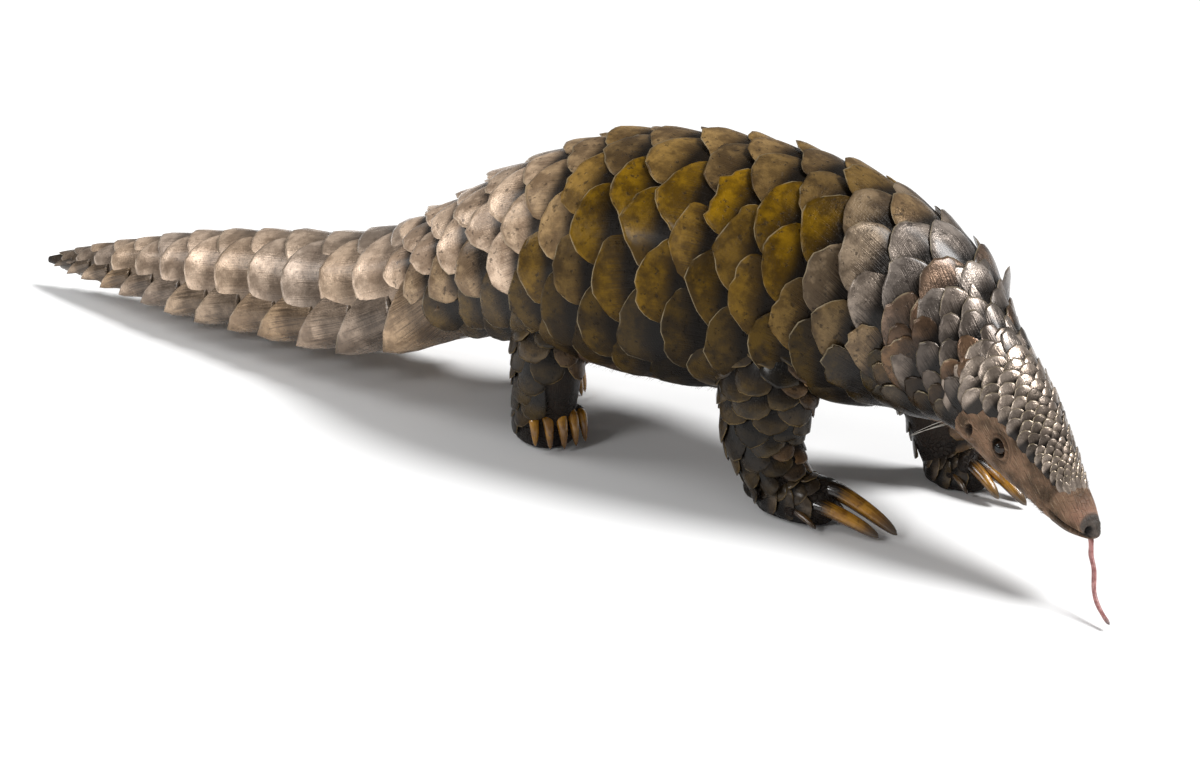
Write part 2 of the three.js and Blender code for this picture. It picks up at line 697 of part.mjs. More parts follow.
// A ball on the body's surface, pressed into an ellipsoid: `long` along the body, `tall` round it and `thick`
// outward.
function bead({ s, angle, out, long, tall, thick }) {
  const p = bodySurface(s, angle, out);
  const x = bodySurface(s + 1, angle, out).sub(p).normalize();
  const z = bodySurface(s, angle, out + 1).sub(p).normalize();
  const y = z.clone().cross(x).normalize();
  x.copy(y).cross(z);
  return solid(
    reshape(new THREE.SphereGeometry(1, 9, 6), (a, b, c) =>
      p.clone().addScaledVector(x, a * long).addScaledVector(y, c * tall).addScaledVector(z, b * thick),
    ),
  );
}

function lidRing(side) {
  const { s, angle } = EYE;
  const p = bodySurface(s, side * angle, 0.2);
  const normal = bodySurface(s, side * angle, 2).sub(p).normalize();
  const ring = new THREE.TorusGeometry(LID.radius, LID.thick, 5, 9);
  ring.scale(1.15, 0.95, 0.9);
  ring.applyQuaternion(new THREE.Quaternion().setFromUnitVectors(vec(0, 0, 1), normal));
  ring.translate(p.x, p.y, p.z);
  return solid(ring);
}

// The mouth lies in a plane below the middle of the snout. It opens at the front and ends at the corners.
const mouthHeight = (s) => -(MOUTH.drop + MOUTH.slope * s);

function mouthSlab(wider, front, end) {
  return solid(
    reshape(new THREE.BoxGeometry(2, 1, 1, 1, 1, 3), (x, y, z) => {
      const s = front + (end - front) * (z + 0.5);
      const { centre, back, left, up, wide } = sectionAt(Math.max(0, s));
      return centre
        .addScaledVector(back, Math.min(0, s))
        .addScaledVector(left, x * (wide + wider))
        .addScaledVector(up, mouthHeight(s) + y * MOUTH.height);
    }),
  );
}

function mouthSlot() {
  const { corner, depth } = MOUTH;
  return mouthSlab(4, -8, corner).subtract(mouthSlab(-depth, depth, corner + 1));
}

// How far round from the ridge the plane of the mouth leaves the skin.
function mouthAngle(s) {
  const { centre, up } = sectionAt(s);
  let [low, high] = [Math.PI / 2, Math.PI];
  for (let k = 0; k < 20; k++) {
    const angle = (low + high) / 2;
    if (bodySurface(s, angle).sub(centre).dot(up) > mouthHeight(s)) low = angle;
    else high = angle;
  }
  return (low + high) / 2;
}

function tube(points, radius, sides, steps) {
  const circle = new THREE.Shape();
  circle.absarc(0, 0, radius, 0, 2 * Math.PI);
  const path = new THREE.CatmullRomCurve3(points);
  const options = { steps, curveSegments: sides, bevelEnabled: false, extrudePath: path };
  return solid(new THREE.ExtrudeGeometry(circle, options));
}

function tongueTube(grow) {
  const [root, next] = TONGUE;
  const start = root.clone().addScaledVector(next.clone().sub(root).normalize(), -grow);
  return tube([start, ...TONGUE.slice(1)], TONGUE_RADIUS + grow, 3, 15);
}

// The mouth stands open a little where the tongue leaves it.
function tongueOpening() {
  const at = TONGUE[2];
  return solid(new THREE.SphereGeometry(MOUTH.opening, 8, 6).translate(at.x, at.y, at.z));
}

function lips() {
  const side = (sign) => [0.95, 0.7, 0.45, 0.25, 0.1].map((share) => {
    const s = share * MOUTH.corner;
    return bodySurface(s, sign * mouthAngle(s), -0.6);
  });
  const { centre, back, up } = sectionAt(0);
  const middle = centre.addScaledVector(up, mouthHeight(0)).addScaledVector(back, -0.3);
  return tube([...side(-1), middle, ...side(1).reverse()], MOUTH.lip, 3, 12);
}

function nosePad() {
  const { centre, up } = sectionAt(NOSE.s);
  const pad = new THREE.SphereGeometry(NOSE.radius, 10, 6);
  pad.scale(1, 1.05, 0.8);
  const at = centre.addScaledVector(up, NOSE.above);
  pad.translate(at.x, at.y, at.z);
  return solid(pad);
}

function nostril(side) {
  const { centre, back, left, up } = sectionAt(NOSE.s);
  const at = centre
    .addScaledVector(back, -0.8 * NOSE.radius)
    .addScaledVector(left, side * 0.55 * NOSE.radius)
    .addScaledVector(up, NOSE.above);
  return solid(new THREE.SphereGeometry(NOSE.nostril, 6, 4).translate(at.x, at.y, at.z));
}

const root = new THREE.Group();
root.position.copy(SHIFT);

function toGeometry(manifold) {
  const mesh = manifold.getMesh();
  const g = new THREE.BufferGeometry();
  g.setAttribute("position", new THREE.BufferAttribute(new Float32Array(mesh.vertProperties), 3));
  g.setIndex(new THREE.BufferAttribute(new Uint32Array(mesh.triVerts), 1));
  return g;
}

// Names a finished piece. Points that a cut left almost on one another are merged first.
function show(name, manifold, material) {
  const piece = new THREE.Mesh(toGeometry(largest(solid(toGeometry(largest(manifold)), 1e-3))), material);
  piece.name = name;
  root.add(piece);
}

// Feet and claws.
const floor = aboveFloor();
const feet = new Map();
for (const limb of LIMBS) {
  const { claws } = FEET[limb.kind];
  let foot = footBlock(limb, 0).intersect(floor);
  const done = [];
  for (const claw of claws) {
    foot = foot.subtract(clawSolid(limb, claw, GAP));
    let horn = clawSolid(limb, claw, 0);
    for (const other of done) horn = horn.subtract(clawSolid(limb, other, GAP));
    done.push(claw);
    show(`${limb.foot}_claw_${claw.name}`, horn, COLOURS.claw());
  }
  feet.set(limb.name, foot);
  show(limb.foot, foot, COLOURS.limbScale());
}

// Legs end at the feet and reach into the trunk.
let body = join(solid(bodyCore()), solid(headCoat()), solid(backCoat()), solid(tailCoat()));
for (const limb of LIMBS) {
  const horns = FEET[limb.kind].claws.map((claw) => clawSolid(limb, claw, GAP));
  const room = join(footBlock(limb, GAP), ...horns);
  show(limb.name, limbSolid(limb, 0).subtract(room).intersect(floor), COLOURS.limbScale());
  body = body.subtract(join(limbSolid(limb, 0), limbSolid(limb, GAP)));
}

// The head's soft parts.
body = join(body, lidRing(1), lidRing(-1), nosePad(), lips());
for (const side of [1, -1]) {
  const name = side > 0 ? "left" : "right";
  const eye = { s: EYE.s, angle: side * EYE.angle, out: -EYE.sunk };
  const ball = (size) => bead({ ...eye, long: size, tall: size, thick: size });
  show(`eye_${name}`, ball(EYE.radius), COLOURS.eye());
  body = body.subtract(ball(EYE.radius + GAP));
  const { long, tall, thick, wall, out, cupOut } = EAR;
  const ear = { s: EAR.s, angle: side * EAR.angle };
  const shell = (grow) => bead({ ...ear, out, long: long + grow, tall: tall + grow, thick: thick + grow });
  const cup = bead({ ...ear, out: cupOut, long: long - wall, tall: tall - wall, thick });
  show(`ear_${name}`, shell(0).subtract(cup), COLOURS.skin());
  body = body.subtract(shell(GAP)).subtract(nostril(side));
}
body = body.subtract(mouthSlot()).subtract(tongueTube(GAP)).subtract(tongueOpening());
show("tongue", tongueTube(0), COLOURS.tongue());

// The body is parted across its line by thin cuts.
const looks = {
  head: COLOURS.skin,
  neck: COLOURS.greyScale,
  torso: COLOURS.oliveScale,
};
let rest = largest(body);
for (const { at, front } of CUTS) {
  show(front, rest.subtract(behind(at - GAP / 2)), (looks[front] || COLOURS.tailScale)());
  rest = rest.intersect(behind(at + GAP / 2));
}
show(LAST_PIECE, rest, COLOURS.tailScale());

export default root;
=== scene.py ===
"""A scaly anteater, life size: skin, horny scales, claws, eyes, tongue and hairs over the fixed frame."""

import math
from functools import partial

import bpy
import numpy as np
from mathutils import Matrix, Vector


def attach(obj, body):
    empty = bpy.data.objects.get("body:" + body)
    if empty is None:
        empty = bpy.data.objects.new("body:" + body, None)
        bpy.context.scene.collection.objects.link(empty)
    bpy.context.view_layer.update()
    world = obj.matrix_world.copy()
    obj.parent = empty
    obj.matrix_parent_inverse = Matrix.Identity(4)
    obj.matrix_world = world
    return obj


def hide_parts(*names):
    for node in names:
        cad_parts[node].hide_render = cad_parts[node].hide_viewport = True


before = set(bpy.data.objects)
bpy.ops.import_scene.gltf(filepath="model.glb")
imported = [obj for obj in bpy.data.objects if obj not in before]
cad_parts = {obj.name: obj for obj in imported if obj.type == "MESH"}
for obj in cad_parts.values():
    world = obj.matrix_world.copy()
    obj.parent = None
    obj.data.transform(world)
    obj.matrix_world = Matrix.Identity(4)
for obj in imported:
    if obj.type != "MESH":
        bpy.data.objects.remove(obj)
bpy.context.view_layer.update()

# The body's line, in mm. Places are measured from a point of the floor between the fore feet.
# SHIFT brings them to the frame's origin.
SHIFT = np.array([299.677, 5.529, 0.0])

# centre x, y, z, half width, reach above and below the centre, from the nose to the tip of the tail
SPINE = np.array(
    [
        [165, -76.5, 51.5, 6.5, 6, 6],  # nose
        [152, -70, 57, 13, 13, 12],  # muzzle
        [136, -62, 67, 17, 18, 17],  # snout
        [120, -55, 79, 22, 23, 22],  # cheeks
        [102, -48, 93, 27, 29, 28],  # eyes
        [85, -41, 106, 31, 33, 32],  # ears
        [64, -33, 119, 35, 38, 38],  # nape
        [38, -24, 129, 44, 51, 48],  # neck
        [2, -13, 141, 60, 66, 62],  # withers
        [-58, -4, 150, 76, 79, 74],  # chest
        [-125, 0, 151, 87, 84, 84],  # ribs
        [-190, 0, 148, 90, 84, 86],  # loin
        [-250, 0, 139, 87, 78, 78],  # haunch
        [-305, -1, 124, 78, 65, 62],  # hips
        [-355, -2, 100, 67, 54, 44],  # rump
        [-405, -2, 74, 59, 52, 34],  # tail root
        [-465, 0, 56, 53, 49, 28],
        [-545, 2, 43, 45, 48, 21],
        [-625, 2, 34, 36, 42, 16],
        [-700, 2, 30, 22, 26, 12],
        [-750, 1, 27, 12, 14, 9],
        [-793, 0, 23, 3, 3, 3],  # tail tip
    ],
    float,
)
BELLY_SQUARE = 2.6  # 2 is an ellipse, more is squarer
LEAST_RADIUS = 0.3
LOOK_AHEAD = 3  # how far before and behind a place the line's direction is read
mileage = np.concatenate([[0], np.cumsum(np.linalg.norm(np.diff(SPINE[:, :3], axis=0), axis=1))])
LENGTH = mileage[-1]
before = np.maximum(0, np.arange(len(SPINE)) - 1)
after = np.minimum(len(SPINE) - 1, np.arange(len(SPINE)) + 1)
slopes = (SPINE[after] - SPINE[before]) / (mileage[after] - mileage[before])[:, None]

# half angle of the scaled part of a section, from the ridge to the hem
HEM_S = [0, 30, 60, 105, 128, 200, 330, 500, 600]
HEM_ANGLE = [0.4, 0.75, 0.98, 1.15, 1.75, 2.1, 2.15, 2.2, 2.35]


def metres(points):
    return (np.asarray(points) + SHIFT) / 1000


def station(s):
    """The stations' numbers at s mm from the nose, along a smooth curve through them."""
    i = np.clip(np.searchsorted(mileage, s, side="left") - 1, 0, len(SPINE) - 2)
    h = (mileage[i + 1] - mileage[i])[:, None]
    t = (s - mileage[i])[:, None] / h
    t2, t3 = t * t, t * t * t
    return (
        SPINE[i] * (2 * t3 - 3 * t2 + 1)
        + slopes[i] * h * (t3 - 2 * t2 + t)
        + SPINE[i + 1] * (3 * t2 - 2 * t3)
        + slopes[i + 1] * h * (t3 - t2)
    )


def section(s):
    """A section's centre, the ways back, left and up from it, its half width and its reach up and down."""
    inside = np.clip(s, 0, LENGTH)
    a = station(np.maximum(0, inside - LOOK_AHEAD))[:, :3]
    b = station(np.minimum(LENGTH, inside + LOOK_AHEAD))[:, :3]
    back = b - a
    back /= np.linalg.norm(back, axis=1)[:, None]
    left = np.cross(back, [0, 0, 1.0])
    left /= np.linalg.norm(left, axis=1)[:, None]
    up = np.cross(left, back)
    q = station(inside)
    centre = q[:, :3] + back * (s - inside)[:, None]
    return centre, back, left, up, q[:, 3:]


def body_point(s, angle, out=0.0):
    """Points of the body's surface: s mm from the nose, angle round from the ridge (+ left), out mm proud."""
    s, angle, out = (np.ravel(v) for v in np.broadcast_arrays(s, angle, out))
    centre, _, left, up, size = section(s)
    c, n = np.cos(angle), np.sin(angle)
    power = np.where(c > 0, 1.0, 2 / BELLY_SQUARE)
    tall = np.where(c > 0, size[:, 1], size[:, 2])
    y = np.sign(n) * np.abs(n) ** power * np.maximum(LEAST_RADIUS, size[:, 0] + out)
    z = np.sign(c) * np.abs(c) ** power * np.maximum(LEAST_RADIUS, tall + out)
    return centre + left * y[:, None] + up * z[:, None]


# A tape laid round the body at every few mm gives the way round from the ridge at each angle.
TAPE_STEP = 4.0
TAPE_S = np.arange(0, LENGTH + TAPE_STEP, TAPE_STEP)
TAPE_TURNS = np.linspace(0, 2 * math.pi, 181)
tape_points = body_point(TAPE_S[:, None], TAPE_TURNS[None, :]).reshape(len(TAPE_S), -1, 3)
tape_steps = np.linalg.norm(np.diff(tape_points, axis=1), axis=2)
tape = np.concatenate([np.zeros((len(TAPE_S), 1)), np.cumsum(tape_steps, axis=1)], axis=1)
SHARES = np.linspace(0, 1, 241)
turn_at_share = np.array([np.interp(SHARES * row[-1], row, TAPE_TURNS) for row in tape])


def look_up(table, s, column):
    """Value between the cells of a table whose rows are TAPE_S and whose columns are counted from 0."""
    i = np.clip(s / TAPE_STEP, 0, len(TAPE_S) - 1.001)
    j = np.clip(column, 0, table.shape[1] - 1.001)
    i0, j0 = i.astype(int), j.astype(int)
    p, q = i - i0, j - j0
    top = table[i0, j0] * (1 - q) + table[i0, j0 + 1] * q
    low = table[i0 + 1, j0] * (1 - q) + table[i0 + 1, j0 + 1] * q
    return top * (1 - p) + low * p


def body_angle(s, reach):
    """The angle that lies reach mm round the section from the ridge."""
    whole = np.interp(s, TAPE_S, tape[:, -1])
    turns = np.floor(reach / whole)
    share = reach / whole - turns
    return 2 * math.pi * turns + look_up(turn_at_share, np.asarray(s, float), share * (len(SHARES) - 1))


def girth_to(s, angle):
    """How far round the section from the ridge an angle lies."""
    return look_up(tape, np.asarray(s, float), np.asarray(angle) / (2 * math.pi) * (len(TAPE_TURNS) - 1))


def hem_reach(s):
    return girth_to(s, np.interp(s, HEM_S, HEM_ANGLE))


def scatter(a, b, c):
    """Repeatable scatter between -1 and 1."""
    v = np.sin(a * 12.9898 + b * 78.233 + c * 37.719) * 43758.5453
    return 2 * (v - np.floor(v)) - 1


def smooth(low, high, value):
    """Rises from 0 at low to 1 at high, level at both ends."""
    t = np.clip((np.asarray(value, float) - low) / (high - low), 0, 1)
    return t * t * (3 - 2 * t)


# Making meshes


def deselect():
    if bpy.context.object and bpy.context.object.mode != "OBJECT":
        bpy.ops.object.mode_set(mode="OBJECT")
    bpy.ops.object.select_all(action="DESELECT")


def join(pieces):
    """All pieces in one, which keeps the name of the first."""
    deselect()
    for piece in pieces:
        piece.select_set(True)
    bpy.context.view_layer.objects.active = pieces[0]
    bpy.ops.object.join()
    return pieces[0]


def bare_mesh(name, points, faces):
    """A mesh from points in mm and faces, placed in the frame's metres."""
    mesh = bpy.data.meshes.new(name)
    mesh.from_pydata(metres(points).tolist(), [], [list(map(int, f)) for f in faces])
    mesh.update()
    piece = bpy.data.objects.new(name, mesh)
    bpy.context.scene.collection.objects.link(piece)
    return piece


def mesh_piece(name, points, faces, material):
    piece = bare_mesh(name, points, faces)
    piece.data.materials.append(material)
    piece.data.shade_smooth()
    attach(piece, "root")
    return piece


def face_outward(piece):
    deselect()
    piece.select_set(True)
    bpy.context.view_layer.objects.active = piece
    bpy.ops.object.mode_set(mode="EDIT")
    bpy.ops.mesh.select_all(action="SELECT")
    bpy.ops.mesh.normals_make_consistent(inside=False)
    bpy.ops.object.mode_set(mode="OBJECT")


def paint(piece, name, values):
    """A weight for each point, which the materials read by its name."""
    layer = piece.data.attributes.new(name, "FLOAT", "POINT")
    layer.data.foreach_set("value", np.asarray(values, np.float32))


def uv_map(piece, name, per_point):
    layer = piece.data.uv_layers.new(name=name)
    corners = np.empty(len(piece.data.loops), np.int32)
    piece.data.loops.foreach_get("vertex_index", corners)
    layer.data.foreach_set("uv", np.asarray(per_point, np.float32)[corners].ravel())


def ring_faces(rings, around, first=0):
    """Quads between rings of points, each ring `around` points long."""
    k = np.arange(rings - 1)[:, None] * around
    j = np.arange(around)[None, :]
    beside = (j + 1) % around
    quads = np.stack([k + j, k + beside, k + around + beside, k + around + j], axis=-1) + first
    return quads.reshape(-1, 4).tolist()


def turns_of(around, start=-math.pi):
    """Angles of a ring's points."""
    return np.linspace(start, start + 2 * math.pi, around, endpoint=False)


def grid_of(rows, columns):
    """Two lists, of the row's and the column's value at each place of a grid."""
    return (v.ravel() for v in np.meshgrid(rows, columns, indexing="ij"))


def loft(rings):
    """Points and faces of a tube through rings of points."""
    return rings.reshape(-1, 3), ring_faces(len(rings), rings.shape[1])


def capped(points, faces, around, tip=(0, 0, 0)):
    """The tube closed by a fan at each end, the last one's middle pulled out by `tip`."""
    count = len(points)
    last = count - around
    ends = np.array([points[:around].mean(axis=0), points[-around:].mean(axis=0) + tip])
    faces = faces + [[count, (k + 1) % around, k] for k in range(around)]
    faces = faces + [[count + 1, last + k, last + (k + 1) % around] for k in range(around)]
    return np.vstack([points, ends]), faces


# Materials


def hue(text):
    """A colour written as on a paint card, made linear."""
    parts = [int(text[k : k + 2], 16) / 255 for k in (0, 2, 4)]
    linear = [v / 12.92 if v <= 0.04045 else ((v + 0.055) / 1.055) ** 2.4 for v in parts]
    return (*linear, 1.0)


class Bench:
    """Places nodes in a tree and wires them up."""

    def __init__(self, tree):
        self.tree = tree

    def add(self, kind, **values):
        node = self.tree.nodes.new(kind)
        for key, value in values.items():
            setattr(node, key, value)
        return node

    def plug(self, node, socket, value):
        target = node.inputs[socket]
        if isinstance(value, bpy.types.NodeSocket):
            self.tree.links.new(value, target)
        else:
            target.default_value = value

    def attribute(self, name):
        return self.add("ShaderNodeAttribute", attribute_name=name).outputs["Fac"]

    def math(self, operation, a, b=0.0, c=0.0):
        node = self.add("ShaderNodeMath", operation=operation)
        for k, value in enumerate((a, b, c)):
            self.plug(node, k, value)
        return node.outputs[0]

    def times(self, a, b):
        return self.math("MULTIPLY", a, b)

    def plus(self, a, b):
        return self.math("ADD", a, b)

    def ramp(self, value, low, high, to_low=0.0, to_high=1.0):
        """Carries low to high over to to_low to to_high, level at both ends."""
        node = self.add("ShaderNodeMapRange", interpolation_type="SMOOTHSTEP")
        for socket, v in zip(range(5), (value, low, high, to_low, to_high)):
            self.plug(node, socket, v)
        return node.outputs[0]

    def mix(self, share, a, b):
        node = self.add("ShaderNodeMix", data_type="RGBA")
        self.plug(node, 0, share)
        self.plug(node, 6, a)
        self.plug(node, 7, b)
        return node.outputs[2]

    def noise(self, vector, scale, detail=3.0, rough=0.55):
        node = self.add("ShaderNodeTexNoise")
        self.plug(node, "Vector", vector)
        self.plug(node, "Scale", scale)
        self.plug(node, "Detail", detail)
        self.plug(node, "Roughness", rough)
        return node.outputs["Fac"]

    def stretch(self, vector, scale):
        node = self.add("ShaderNodeMapping")
        self.plug(node, "Vector", vector)
        self.plug(node, "Scale", scale)
        return node.outputs[0]

    def place(self):
        return self.add("ShaderNodeTexCoord").outputs["Object"]

    def uv(self, name):
        return self.add("ShaderNodeUVMap", uv_map=name).outputs[0]

    def group(self, tree, **values):
        node = self.add("ShaderNodeGroup")
        node.node_tree = tree
        for key, value in values.items():
            self.plug(node, key.replace("_", " "), value)
        return node

    def bump(self, height, distance):
        node = self.add("ShaderNodeBump")
        self.plug(node, "Height", height)
        self.plug(node, "Distance", distance)
        return node.outputs[0]


def new_group(name, inputs, outputs):
    """A node group with named sockets: its tree, its bench, what it is given and where it puts out."""
    tree = bpy.data.node_groups.new(name, "ShaderNodeTree")
    for title, kind, value in inputs:
        socket = tree.interface.new_socket(title, in_out="INPUT", socket_type=kind)
        socket.default_value = value
    for title, kind in outputs:
        tree.interface.new_socket(title, in_out="OUTPUT", socket_type=kind)
    bench = Bench(tree)
    return tree, bench, bench.add("NodeGroupInput").outputs, bench.add("NodeGroupOutput")


COLOUR, NUMBER = "NodeSocketColor", "NodeSocketFloat"


def horn_marks():
    """Blotches, pits and specks of old horn: a colour from three, its roughness and its relief."""
    tree, b, given, out = new_group(
        "horn_marks",
        [
            ("Clean", COLOUR, hue("8f7434")),
            ("Blotch", COLOUR, hue("5c4a2c")),
            ("Speck", COLOUR, hue("20180f")),
            ("Blotches", NUMBER, 0.5),
            ("Specks", NUMBER, 0.5),
        ],
        [("Color", COLOUR), ("Roughness", NUMBER), ("Height", NUMBER)],
    )
    at = b.place()
    wide = b.noise(at, 44.0, 5.0, 0.62)
    blotch = b.times(b.ramp(wide, 0.43, 0.6), given["Blotches"])
    fine = b.noise(at, 240.0, 3.0)
    speck = b.times(b.ramp(fine, 0.6, 0.7), given["Specks"])
    grain = b.noise(at, 900.0, 2.0)
    first = b.mix(blotch, given["Clean"], given["Blotch"])
    tinted = b.mix(b.ramp(b.noise(at, 110.0, 4.0, 0.6), 0.4, 0.66, 0.0, 0.55), first, given["Blotch"])
    b.plug(out, "Color", b.mix(speck, tinted, given["Speck"]))
    rough = b.plus(b.times(wide, 0.22), b.times(fine, 0.18))
    b.plug(out, "Roughness", b.plus(rough, 0.16))
    relief = b.plus(b.times(grain, 0.25), b.times(wide, 0.8))
    b.plug(out, "Height", b.math("SUBTRACT", relief, b.times(speck, 0.6)))
    return tree


def plate_lines():
    """Fine lines that run down a scale from its root, and growth rings that follow its edge. The second
    output weighs the lines' grooves, for painted shade in them.
    """
    tree, b, given, out = new_group(
        "plate_lines",
        [("Lines", NUMBER, 1.0), ("Rings", NUMBER, 0.4)],
        [("Height", NUMBER), ("Groove_shade", NUMBER)],
    )
    uv = b.uv("plate")
    fine = b.noise(b.stretch(uv, (1400.0, 22.0, 1.0)), 1.0, 1.0, 0.4)
    coarse = b.noise(b.stretch(uv, (520.0, 16.0, 1.0)), 1.0, 2.0, 0.5)
    along = b.attribute("along")
    rooted = b.ramp(along, 0.12, 0.42)
    lines = b.times(b.plus(fine, b.times(coarse, 0.6)), rooted)
    lines = b.times(lines, given["Lines"])
    wave = b.math("SINE", b.times(b.attribute("edge"), 95.0))
    rings = b.times(b.times(wave, 0.12), given["Rings"])
    b.plug(out, "Height", b.plus(lines, rings))
    # where the lines' grooves lie, which the horn is darkened in as painted shade
    groove_shade = b.times(b.ramp(fine, 0.52, 0.34), rooted)
    b.plug(out, "Groove_shade", b.times(groove_shade, given["Lines"]))
    return tree


HORN_MARKS = horn_marks()
PLATE_LINES = plate_lines()


def start_material(name, **sockets):
    """A material whose constant sockets are set on the shader itself."""
    material = bpy.data.materials.new(name)
    material.use_nodes = True
    shader = material.node_tree.nodes["Principled BSDF"]
    for key, value in sockets.items():
        shader.inputs[key.replace("_", " ")].default_value = value
    return material, Bench(material.node_tree), shader


# A scale's clean colour and that of its blotches: of tan horn, then where each weight is painted.
HORN_TAN = ("c3ab94", "77624f")
HORN_WEIGHTS = {
    "olive": ("7b5b06", "3a2700"),
    "grey": ("a0948a", "48403a"),
    "rust": ("7b583a", "352517"),
    "dark": ("37290b", "15100b"),
}


def scale_material(
    name,
    rim="b9a888",
    blotches=0.8,
    specks=0.6,
    dark_root_and_shade=0.85,
    relief=0.0011,
    metal=0.1,
    sheen=0.3,
    gloss=0.22,
    gap_shade=0.95,
):
    """Horn plates. The weights painted on the scales choose between tan, olive, grey, brown and dark horn.

    dark_root_and_shade is how far a scale darkens towards its root, partly its own horn and partly painted
    shade where the next scale covers it, and gap_shade how dark the painted shadow is under the next one.
    sheen is how metallic the satin scales look, and relief the height of lines and pits in metres.
    """
    material, b, shader = start_material(name, Coat_Roughness=0.2, Specular_IOR_Level=gloss)
    along, satin = b.attribute("along"), b.attribute("satin")
    clean, blotch = (hue(colour) for colour in HORN_TAN)
    for weight, (clean_here, blotch_here) in HORN_WEIGHTS.items():
        share = b.attribute(weight)
        clean = b.mix(share, clean, hue(clean_here))
        blotch = b.mix(share, blotch, hue(blotch_here))
    # darker towards the root, where the next scale lies over it: partly the horn's own colour, partly painted
    # shade
    rooted = b.times(b.ramp(along, 0.16, 0.62), dark_root_and_shade)
    clean = b.mix(rooted, clean, blotch)
    marks = b.group(
        HORN_MARKS, Clean=clean, Blotch=blotch, Speck=hue("1c140c"), Blotches=blotches, Specks=specks
    )
    plate = b.group(PLATE_LINES, Lines=b.attribute("lined"), Rings=0.12)
    # the lines' grooves darkened: painted shade in them
    shaded = b.mix(b.times(plate.outputs["Groove_shade"], 0.6), marks.outputs["Color"], hue("2a2018"))
    value = b.add("ShaderNodeHueSaturation")
    b.plug(value, "Value", b.ramp(b.attribute("tone"), 0.0, 1.4, 0.55, 1.6))
    # painted shadow under the free edge of the next scale, which lies over the root half
    under = b.ramp(along, 0.34, 0.6, 0.0, gap_shade)
    b.plug(value, "Color", b.mix(under, shaded, hue("0e0905")))
    edge = b.ramp(b.attribute("edge"), 0.038, 0.008)
    worn = b.times(edge, b.ramp(b.noise(b.place(), 60.0, 2.0), 0.4, 0.6))
    b.plug(shader, "Base Color", b.mix(b.times(worn, 0.5), value.outputs[0], hue(rim)))
    b.plug(shader, "Metallic", b.math("MULTIPLY_ADD", satin, sheen, metal))
    b.plug(shader, "Coat Weight", b.times(satin, 0.4))
    rough = b.math("SUBTRACT", marks.outputs["Roughness"], b.times(satin, 0.08))
    b.plug(shader, "Roughness", rough)
    height = b.plus(marks.outputs["Height"], plate.outputs["Height"])
    b.plug(shader, "Normal", b.bump(height, relief))
    return material


def skin_material():
    """Brown hide with lying hair. The weights mark the dark body, pink muzzle and nose pad; black marks dark
    lid rims and painted shade in nostrils, ear holes, eye folds and the mouth's line.
    """
    material, b, shader = start_material(
        "hide", Subsurface_Weight=0.05, Subsurface_Scale=0.003, Specular_IOR_Level=0.25
    )
    at = b.place()
    dark = b.attribute("dark")
    patch = b.noise(at, 60.0, 4.0)
    face = b.mix(b.ramp(patch, 0.36, 0.64), hue("876a53"), hue("4e3c2b"))
    face = b.mix(b.attribute("pink"), face, hue("a87f6a"))
    brown = b.mix(b.ramp(patch, 0.35, 0.7), hue("33261a"), hue("1a130d"))
    base = b.mix(dark, face, brown)
    hair = b.noise(b.stretch(b.uv("lie"), (90.0, 1250.0, 1.0)), 1.0, 2.0, 0.5)
    base = b.mix(b.ramp(hair, 0.5, 0.68, 0.0, 0.5), base, hue("33251a"))
    pale_hair = b.times(b.ramp(hair, 0.4, 0.28), b.math("MULTIPLY_ADD", dark, -0.35, 0.4))
    base = b.mix(pale_hair, base, hue("cdb698"))
    nose = b.mix(b.ramp(patch, 0.3, 0.7), hue("6b625b"), hue("3f3833"))
    base = b.mix(b.attribute("pad"), base, nose)
    # black holds the lids' dark rims, and painted shade in the nostrils, ear holes, eye folds and mouth line
    b.plug(shader, "Base Color", b.mix(b.attribute("black"), base, hue("0f0b09")))
    b.plug(shader, "Roughness", b.ramp(patch, 0.3, 0.7, 0.62, 0.46))
    crease = b.add("ShaderNodeTexVoronoi", feature="DISTANCE_TO_EDGE")
    b.plug(crease, "Vector", at)
    b.plug(crease, "Scale", 260.0)
    wrinkled = b.plus(b.attribute("wrinkle"), 0.1)
    wrinkle = b.times(b.ramp(crease.outputs["Distance"], 0.0, 0.18), wrinkled)
    height = b.plus(b.times(hair, 0.7), wrinkle)
    b.plug(shader, "Normal", b.bump(height, 0.0009))
    return material


def claw_material():
    """Amber horn, dark at the root and on the small claws, with streaks along it."""
    material, b, shader = start_material(
        "claw_horn", Coat_Weight=0.7, Coat_Roughness=0.1, Specular_IOR_Level=0.4
    )
    along = b.attribute("along")
    amber = b.mix(b.attribute("under"), hue("b98327"), hue("4a3010"))
    marks = b.group(
        HORN_MARKS, Clean=amber, Blotch=hue("6b4316"), Speck=hue("1c120a"), Blotches=0.7, Specks=0.4
    )
    tip = b.mix(b.ramp(along, 0.62, 0.96), marks.outputs["Color"], hue("544536"))
    streak = b.noise(b.stretch(b.uv("plate"), (700.0, 25.0, 1.0)), 1.0, 3.0)
    rooted = b.ramp(b.plus(along, b.times(streak, 0.25)), 0.56, 0.3)
    light = b.mix(b.ramp(streak, 0.55, 0.72, 0.0, 0.45), tip, hue("d9a548"))
    horn = b.mix(b.attribute("small"), light, hue("33261a"))
    b.plug(shader, "Base Color", b.mix(rooted, horn, hue("1d140c")))
    b.plug(shader, "Roughness", b.plus(b.times(streak, 0.2), 0.1))
    height = b.plus(streak, b.times(marks.outputs["Height"], 0.3))
    b.plug(shader, "Normal", b.bump(height, 0.0004))
    return material


